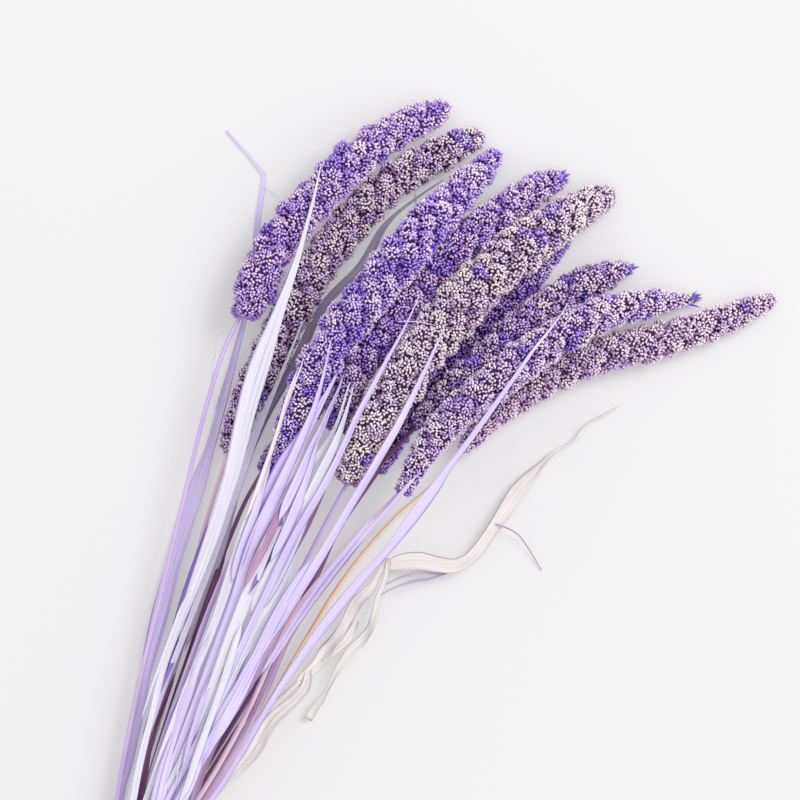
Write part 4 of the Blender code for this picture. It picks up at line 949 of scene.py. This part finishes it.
# The torn strips: leaf that split along its fibres into narrow tongues and hairs. Each lies on
# the straws, leaves, heads and strips that carry it, and is tucked in at its lower end.
pile_points, pile_faces = [], []


def add_to_pile(points, faces):
    """What the next strips lie on."""
    start = len(pile_points)
    pile_points.extend(Vector(point) for point in points)
    pile_faces.extend([start + k for k in face] for face in faces)


for name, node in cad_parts.items():
    if name != "band":
        add_to_pile([vertex.co for vertex in node.data.vertices],
                    [polygon.vertices for polygon in node.data.polygons])
STIFFNESS = 0.28


def lay_on(route, clearance, sunk):
    """A line over a plan route, on what is below it; sunk is the share of the way down."""
    line = smooth_route([(x, y, 0.0, width) for x, y, width in route], LEAF_STEP)
    top = BVHTree.FromPolygons(pile_points, pile_faces)
    at, width = line["at"], line["width"][:, 0]
    heights = np.zeros(len(at))
    for k, (spot, side) in enumerate(zip(line["centre"], line["side"])):
        for share in (-0.35, 0.0, 0.35):
            x, y, _ = spot + side * share * width[k]
            hit = top.ray_cast(Vector((x, y, 0.2)), Vector((0, 0, -1)))[0]
            heights[k] = max(heights[k], hit.z if hit else 0.0)
    taut = np.max(heights - STIFFNESS * np.abs(at[:, None] - at), axis=1)
    padded = np.pad(taut, 3, mode="edge")
    eased = np.mean([padded[k:k + len(at)] for k in range(7)], axis=0)
    centre = line["centre"].copy()
    centre[:, 2] = eased * (1 - sunk) + clearance
    to_end = np.clip(np.minimum(at, at[-1] - at) / 0.012, 0.02, 1.0)
    line["width"] = line["width"] * np.sin(to_end * math.pi / 2)[:, None]
    return dict(line, centre=centre, **directions(centre))


# Colour, slot, roll, clearance in millimetres, share sunk, and the plan route with its widths
STRIPS = {
    "violet_grey_shred": ("violet", "leaf_lavender", 1.2, 0.6, 0.2, [
        (-29.9, 42.6, 3.1), (-51.5, 38.5, 3.1), (-67.8, 35.4, 2.8), (-88.1, 32.8, 2.5),
        (-107, 30.3, 1.9), (-124.7, 27.1, 1.2)]),
    "white_shred_left": ("white", "leaf_white", 1.2, 0.6, 0.0, [
        (-30, 47.6, 1.9), (-46.4, 45.9, 2.5), (-62.2, 43.1, 2.2), (-78, 40.3, 1.9), (-97.7, 36.6, 1.6),
        (-117, 32.4, 0.9)]),
    "low_lavender_sheath": ("lavender", "leaf_lavender", -1.5, 0.6, 0.0, [
        (-44.5, 23, 0.9), (-59.9, 21.9, 3.1), (-80.8, 16.8, 5), (-97.1, 13.7, 6.2), (-109.5, 10, 6.9),
        (-120.2, 7.2, 8.1), (-133.5, 3.8, 10), (-149.4, -1.3, 11.0), (-166.3, -7, 8),
        (-186.8, -11.8, 4.6), (-200.4, -14.4, 1.2)]),
    "split_hair_1": ("white", "leaf_white", 1.0, 1.4, 0.0, [
        (-53.2, 23, 0.6), (-65.2, 22.4, 0.8), (-81.7, 20.7, 0.8), (-93.7, 20.1, 0.8), (-104.8, 19.3, 0.6)]),
    "split_hair_2": ("white", "leaf_white", 1.0, 1.4, 0.0, [
        (-99.3, 5.1, 0.6), (-113.9, 0.1, 0.8), (-127.8, -4.5, 0.8), (-141.8, -9.2, 0.6)]),
    "split_hair_3": ("white", "leaf_white", 1.0, 1.4, 0.0, [
        (-105.7, 3.5, 0.6), (-118.7, 0.9, 0.8), (-130.7, -3.3, 0.8), (-141, -8, 0.6)]),
    "lavender_band": ("lavender", "leaf_lavender", -1.3, 0.6, 0.0, [
        (25.4, -6.8, 3.1), (11.4, -6.4, 5), (-0.9, -6.4, 5.9), (-13.8, -6.8, 6.6), (-27.2, -7.4, 7.2),
        (-40.3, -8.7, 7.5), (-52.9, -9.5, 8.1), (-65.4, -10.4, 9.1), (-79.2, -10.6, 10),
        (-92.6, -11.3, 8.8), (-103.7, -12, 5.6), (-114, -13.1, 3.8), (-124.3, -14.1, 1.9)]),
    "mauve_strip": ("mauve", "leaf_mauve", 1.2, 0.4, 0.15, [
        (-18.4, -13.8, 1.6), (-35.5, -13.1, 2.8), (-47.5, -13.7, 4.7), (-58.7, -14.4, 4.4),
        (-70.7, -15, 3.1), (-85.1, -14.1, 2.5), (-98, -14.4, 2.8), (-109.1, -15.2, 3.1),
        (-120.8, -16.3, 3.8), (-133.3, -18.6, 4.4), (-149.5, -21.2, 3.1)]),
    # A thin violet strip along a gap between strips: partly leaf, partly painted shade.
    "violet_line_and_painted_shade": ("violet", "leaf_lavender", 1.2, 0.5, 0.1, [
        (-27.6, -1.9, 1.2), (-41.6, -2.9, 2.2), (-53.6, -3.4, 2.8), (-65.8, -4.9, 2.5),
        (-78.1, -6.3, 1.9), (-89, -6.2, 0.9)]),
    "second_pale_sheet": ("white", "leaf_white", -0.8, 0.4, 0.05, [
        (17.6, 1.6, 3.1), (4.7, 1.3, 7.5), (-8.8, 2, 10.6), (-23.7, 2.6, 11.9), (-37.7, 1.6, 11.9),
        (-51.6, 0.6, 9.4), (-67.4, -2.2, 7.5), (-83.2, -5, 6.9), (-98.3, -7.9, 6.2),
        (-113.2, -10.3, 5.9), (-129.1, -13.3, 5.6), (-145, -15.4, 5), (-163.6, -17.1, 3.1)]),
    "pale_centre_split": ("white", "leaf_white", -1.0, 0.8, 0.0, [
        (-30.7, 9.4, 4.4), (-43.3, 6.3, 5.6), (-57.4, 3, 5.6), (-71.5, -0.2, 5), (-85.9, -2.9, 5),
        (-101, -5.8, 5), (-116.9, -8.9, 5), (-133.9, -12.6, 4.4), (-150.0, -14.0, 2.0)]),
    "grey_mauve_sheath": ("grey", "leaf_mauve", -1.4, 0.4, 0.1, [
        (36.9, 52.4, 2.5), (21.7, 49.9, 4.4), (6, 45.7, 5.6), (-8.4, 43, 6.9), (-22.8, 40.3, 6.2),
        (-37.2, 37.6, 5), (-52.6, 34.2, 3.8), (-67, 31.5, 1.9)]),
    # Two dark plum shreds, sunk into the gaps between strips: partly leaf, partly painted shade where shade falls.
    "plum_shred_and_painted_shade": ("plum", "leaf_mauve", 1.2, 0.3, 0.35, [
        (4.6, 41.9, 1.6), (-9.8, 39.2, 3.8), (-24.4, 35.7, 5), (-38.5, 32.4, 5.6), (-53.4, 29.4, 5),
        (-67.3, 27, 3.8), (-80.6, 24.9, 1.9)]),
    "dark_low_shred": ("plum", "leaf_mauve", 1.2, 0.3, 0.3, [
        (-80.3, 29.4, 1.9), (-98.9, 26.4, 3.1), (-114.7, 23.6, 3.8), (-130.1, 19.3, 3.8),
        (-145.3, 13.4, 3.8), (-161.5, 6.9, 3.8), (-181.3, -1, 2.5)]),
    "lilac_shred": ("lavender", "leaf_lavender", 1.2, 0.6, 0.0, [
        (-56.8, 10.6, 1.2), (-69.6, 8.9, 2.5), (-84, 6.2, 3.1), (-99.5, 2.8, 3.1), (-115.1, -1.4, 2.5),
        (-130.5, -6.1, 1.2)]),
    "cream_strand": ("cream", "leaf_white", 1.2, 0.6, 0.0, [
        (124.2, 59.7, 0.8), (111.7, 57.4, 1.2), (100.1, 54.9, 1.9), (85, 51, 2), (72.8, 48.2, 2.2),
        (60.4, 45.9, 2.5), (49.3, 43.7, 2.8), (35.5, 41.3, 2.5), (24.1, 39.7, 1.2)]),
    "violet_tongue": ("violet", "leaf_lavender", 0.8, 1.0, 0.0, [
        (44.1, 23.2, 0.6), (32.8, 20.1, 3.8), (18.7, 16.9, 5.9), (5.1, 15.3, 5), (-5.5, 14.9, 2.8),
        (-14.2, 14.8, 0.6)]),
    "mauve_tongue": ("mauve", "leaf_mauve", 0.8, 0.8, 0.0, [
        (105.5, 31.2, 1.2), (87.5, 27.1, 2.2), (70.3, 25.6, 2.8), (54.9, 24.5, 3.8), (42.4, 23.6, 5),
        (30.3, 23, 6.2), (16.4, 22, 6.6), (3.8, 21.1, 5), (-5.6, 19.9, 3.1), (-14.2, 18.4, 0.6)]),
    "fan_finger_1": ("lavender", "leaf_lavender", 0.7, 0.4, 0.05, [
        (2.9, 26.4, 5.6), (18.9, 30.1, 8.1), (36.6, 33.3, 10), (54.4, 35.1, 11.2), (71.5, 35.8, 10.6),
        (87.5, 35.8, 6.9), (102.6, 36, 5), (115.5, 36.4, 3.1), (127.5, 37, 1.9), (140.8, 39, 0.6)]),
    "fan_finger_2": ("lavender", "leaf_lavender", 0.9, 0.6, 0.0, [
        (34.6, 21.9, 3.8), (52.4, 23.8, 6.2), (68.9, 25.5, 5.6), (84.4, 27.4, 5), (97.5, 28.6, 3.8),
        (111.1, 30.2, 3.1), (123.4, 31.6, 1.9), (136.4, 34.2, 0.8)]),
    "fan_finger_3": ("white", "leaf_white", 0.6, 0.4, 0.05, [
        (-23.5, 7.1, 8.8), (-4.7, 7.3, 12.5), (13.7, 8.1, 12.5), (31.3, 9.1, 10), (48.3, 11.1, 8.1),
        (64.4, 13.4, 6.9), (80.3, 14.8, 6.2), (93.4, 16, 5), (105.8, 18.3, 3.1), (120.4, 21.9, 1.6),
        (134.2, 25.7, 0.6)]),
    "fan_finger_4": ("lavender", "leaf_lavender", 0.8, 0.5, 0.0, [
        (10.5, 13.5, 3.8), (28.1, 14.5, 5.6), (46.5, 16.6, 6.2), (63.7, 19.5, 5), (78.8, 23.4, 3.1),
        (92.6, 27.2, 1.2)]),
    "left_tongue": ("lavender", "leaf_lavender", 0.8, 0.5, 0.0, [
        (-12.3, 27.6, 5), (3.1, 30.9, 6.9), (18.6, 34.2, 6.2), (34.1, 37.6, 4.4), (46.7, 40.7, 3.1),
        (58.3, 43.2, 1.9), (67.7, 45.9, 0.6)]),
    "lilac_beside_stem": ("lavender", "leaf_lavender", -1.6, 0.4, 0.0, [
        (106.2, -37.5, 1.2), (92.2, -34.8, 2.5), (78.6, -32.7, 3.1), (64.4, -29.5, 3.1),
        (48.2, -26.7, 3.1), (31.5, -24.3, 3.1), (15.1, -22.4, 3.4), (-1, -21, 3.1), (-16.2, -19.8, 2.5),
        (-32, -19, 2.5), (-48.8, -18.8, 1.9)]),
    "orchid_strip": ("lavender", "leaf_lavender", -1.6, 0.4, 0.0, [
        (74.6, -27.1, 1.2), (59.9, -25.6, 2.5), (44, -23.4, 3.1), (28.7, -20.8, 3.4), (12.3, -18.9, 3.4),
        (-4.3, -17.9, 3.1), (-20.6, -17.3, 2.8), (-36.9, -16.8, 2.5), (-52.9, -16.8, 1.9)]),
    "top_hair": ("lavender", "leaf_lavender", 1.0, 0.5, 0.0, [
        (177.5, 23.7, 0.6), (180.2, 18, 0.7), (184, 11.5, 0.8), (186.7, 4.4, 0.7), (188.4, -3.3, 0.6)]),
    "crossing_hair": ("lavender", "leaf_lavender", 1.0, 0.5, 0.0, [
        (130.2, 61.8, 0.5), (126, 54.2, 0.6), (125.3, 48, 0.6), (127.1, 42.5, 0.5)]),
    "hooked_hair": ("lavender", "leaf_lavender", 1.0, 0.5, 0.0, [
        (109.1, 110.3, 0.6), (111.8, 114.0, 0.6), (116.8, 112.7, 0.6), (121.3, 107.5, 0.5)]),
    "left_hair": ("lavender", "leaf_lavender", 1.0, 0.5, 0.0, [
        (64.1, 88, 0.7), (76.1, 93, 0.7), (85.9, 101, 0.7), (96.7, 107.4, 0.6), (105.7, 110.6, 0.5),
        (109.9, 114.5, 0.4)]),
    "tip_spur": ("lavender", "leaf_lavender", 1.0, 0.5, 0.0, [
        (208.6, 138.1, 0.6), (208.6, 134.4, 0.8), (208.4, 129.9, 0.6), (208.1, 125.4, 0.4)]),
    "short_straw": ("lavender", "leaf_white", 1.0, 0.5, 0.0, [
        (227.7, 27.3, 0.6), (224.2, 25.9, 1.9), (221, 22.6, 1.6), (219, 19.9, 0.6)]),
    "hair_between": ("grey", "leaf_mauve", 1.0, 0.5, 0.0, [
        (255.2, 54.5, 1.2), (251.2, 51.4, 1.2), (245.9, 48.2, 0.9)]),
}
for seed, (name, (colour, slot, roll, clearance, sunk, route)) in enumerate(STRIPS.items()):
    widest = max(width for _, _, width in route)
    strip = add_leaf(name, lay_on(route, clearance * MM, sunk), colour, roll, 40 + seed, None, slot,
                     lanes=7 if widest > 2 else 4)
    add_to_pile([vertex.co for vertex in strip.data.vertices],
                [polygon.vertices for polygon in strip.data.polygons])


# The band: one rubber cord wound three times round everything just above the cut ends.
CORD_HALF_WIDTH = 0.00142
CORD_HALF_THICKNESS = 0.0007
BAND_STEPS_A_TURN = 60
BAND_TURNS = 3.1


def wound_cord(ring):
    """The cord's middle line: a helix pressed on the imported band's outline."""
    points = np.array([vertex.co for vertex in ring.data.vertices])
    middle = (points.min(axis=0) + points.max(axis=0)) / 2
    outline = BVHTree.FromPolygons([vertex.co.copy() for vertex in ring.data.vertices],
                                   [list(polygon.vertices) for polygon in ring.data.polygons])
    centre = []
    steps = int(BAND_STEPS_A_TURN * BAND_TURNS)
    for k in range(steps + 1):
        angle = 2 * math.pi * k / BAND_STEPS_A_TURN + 4.4
        outward = Vector((0.0, math.cos(angle), math.sin(angle)))
        start = Vector((middle[0], middle[1], middle[2])) + outward * 0.08
        hit = outline.ray_cast(start, -outward)[0]
        x = middle[0] + (k / steps - 0.5) * 0.0058
        end = min(k, steps - k) / 8
        sunk = CORD_HALF_THICKNESS * (1.1 + 0.9 * max(0.0, 1 - end))
        centre.append((x, hit.y - outward.y * sunk, hit.z - outward.z * sunk))
    return np.array(centre), middle


cord_line, band_middle = wound_cord(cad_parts["band"])
ahead = unit(np.gradient(cord_line, axis=0))
out = unit((cord_line - band_middle) * (0, 1, 1))
side = unit(np.cross(out, ahead))
angle = np.arange(10) * 2 * math.pi / 10
rings = (cord_line[:, None] + side[:, None] * (np.cos(angle) * CORD_HALF_WIDTH)[:, None]
         + out[:, None] * (np.sin(angle) * CORD_HALF_THICKNESS)[:, None])
faces = []
for k in range(len(rings) - 1):
    for j in range(10):
        n = (j + 1) % 10
        faces.append((k * 10 + j, (k + 1) * 10 + j, (k + 1) * 10 + n, k * 10 + n))
faces.append(tuple(range(10)))
faces.append(tuple(range((len(rings) - 1) * 10, len(rings) * 10))[::-1])
rubber, tree, shader = make_material("natural_rubber", dye(206, 178, 138), 0.62)
grain = add_node(tree, "ShaderNodeTexNoise", {"Scale": 900.0, "Detail": 3.0})
tint = mix_colours(tree, between(tree, grain.outputs[0], 0.3, 0.7), (*dye(192, 162, 120), 1),
                   (*dye(218, 192, 154), 1))
tree.links.new(tint, shader.inputs["Base Color"])
tree.links.new(between(tree, grain.outputs[0], 0.3, 0.7, 0.5, 0.72), shader.inputs["Roughness"])
bump = add_node(tree, "ShaderNodeBump", {"Strength": 0.5, "Distance": 0.0002, "Height": grain.outputs[0]})
tree.links.new(bump.outputs[0], shader.inputs["Normal"])
add_piece("wound_band", rings.reshape(-1, 3), faces, [rubber], "band")
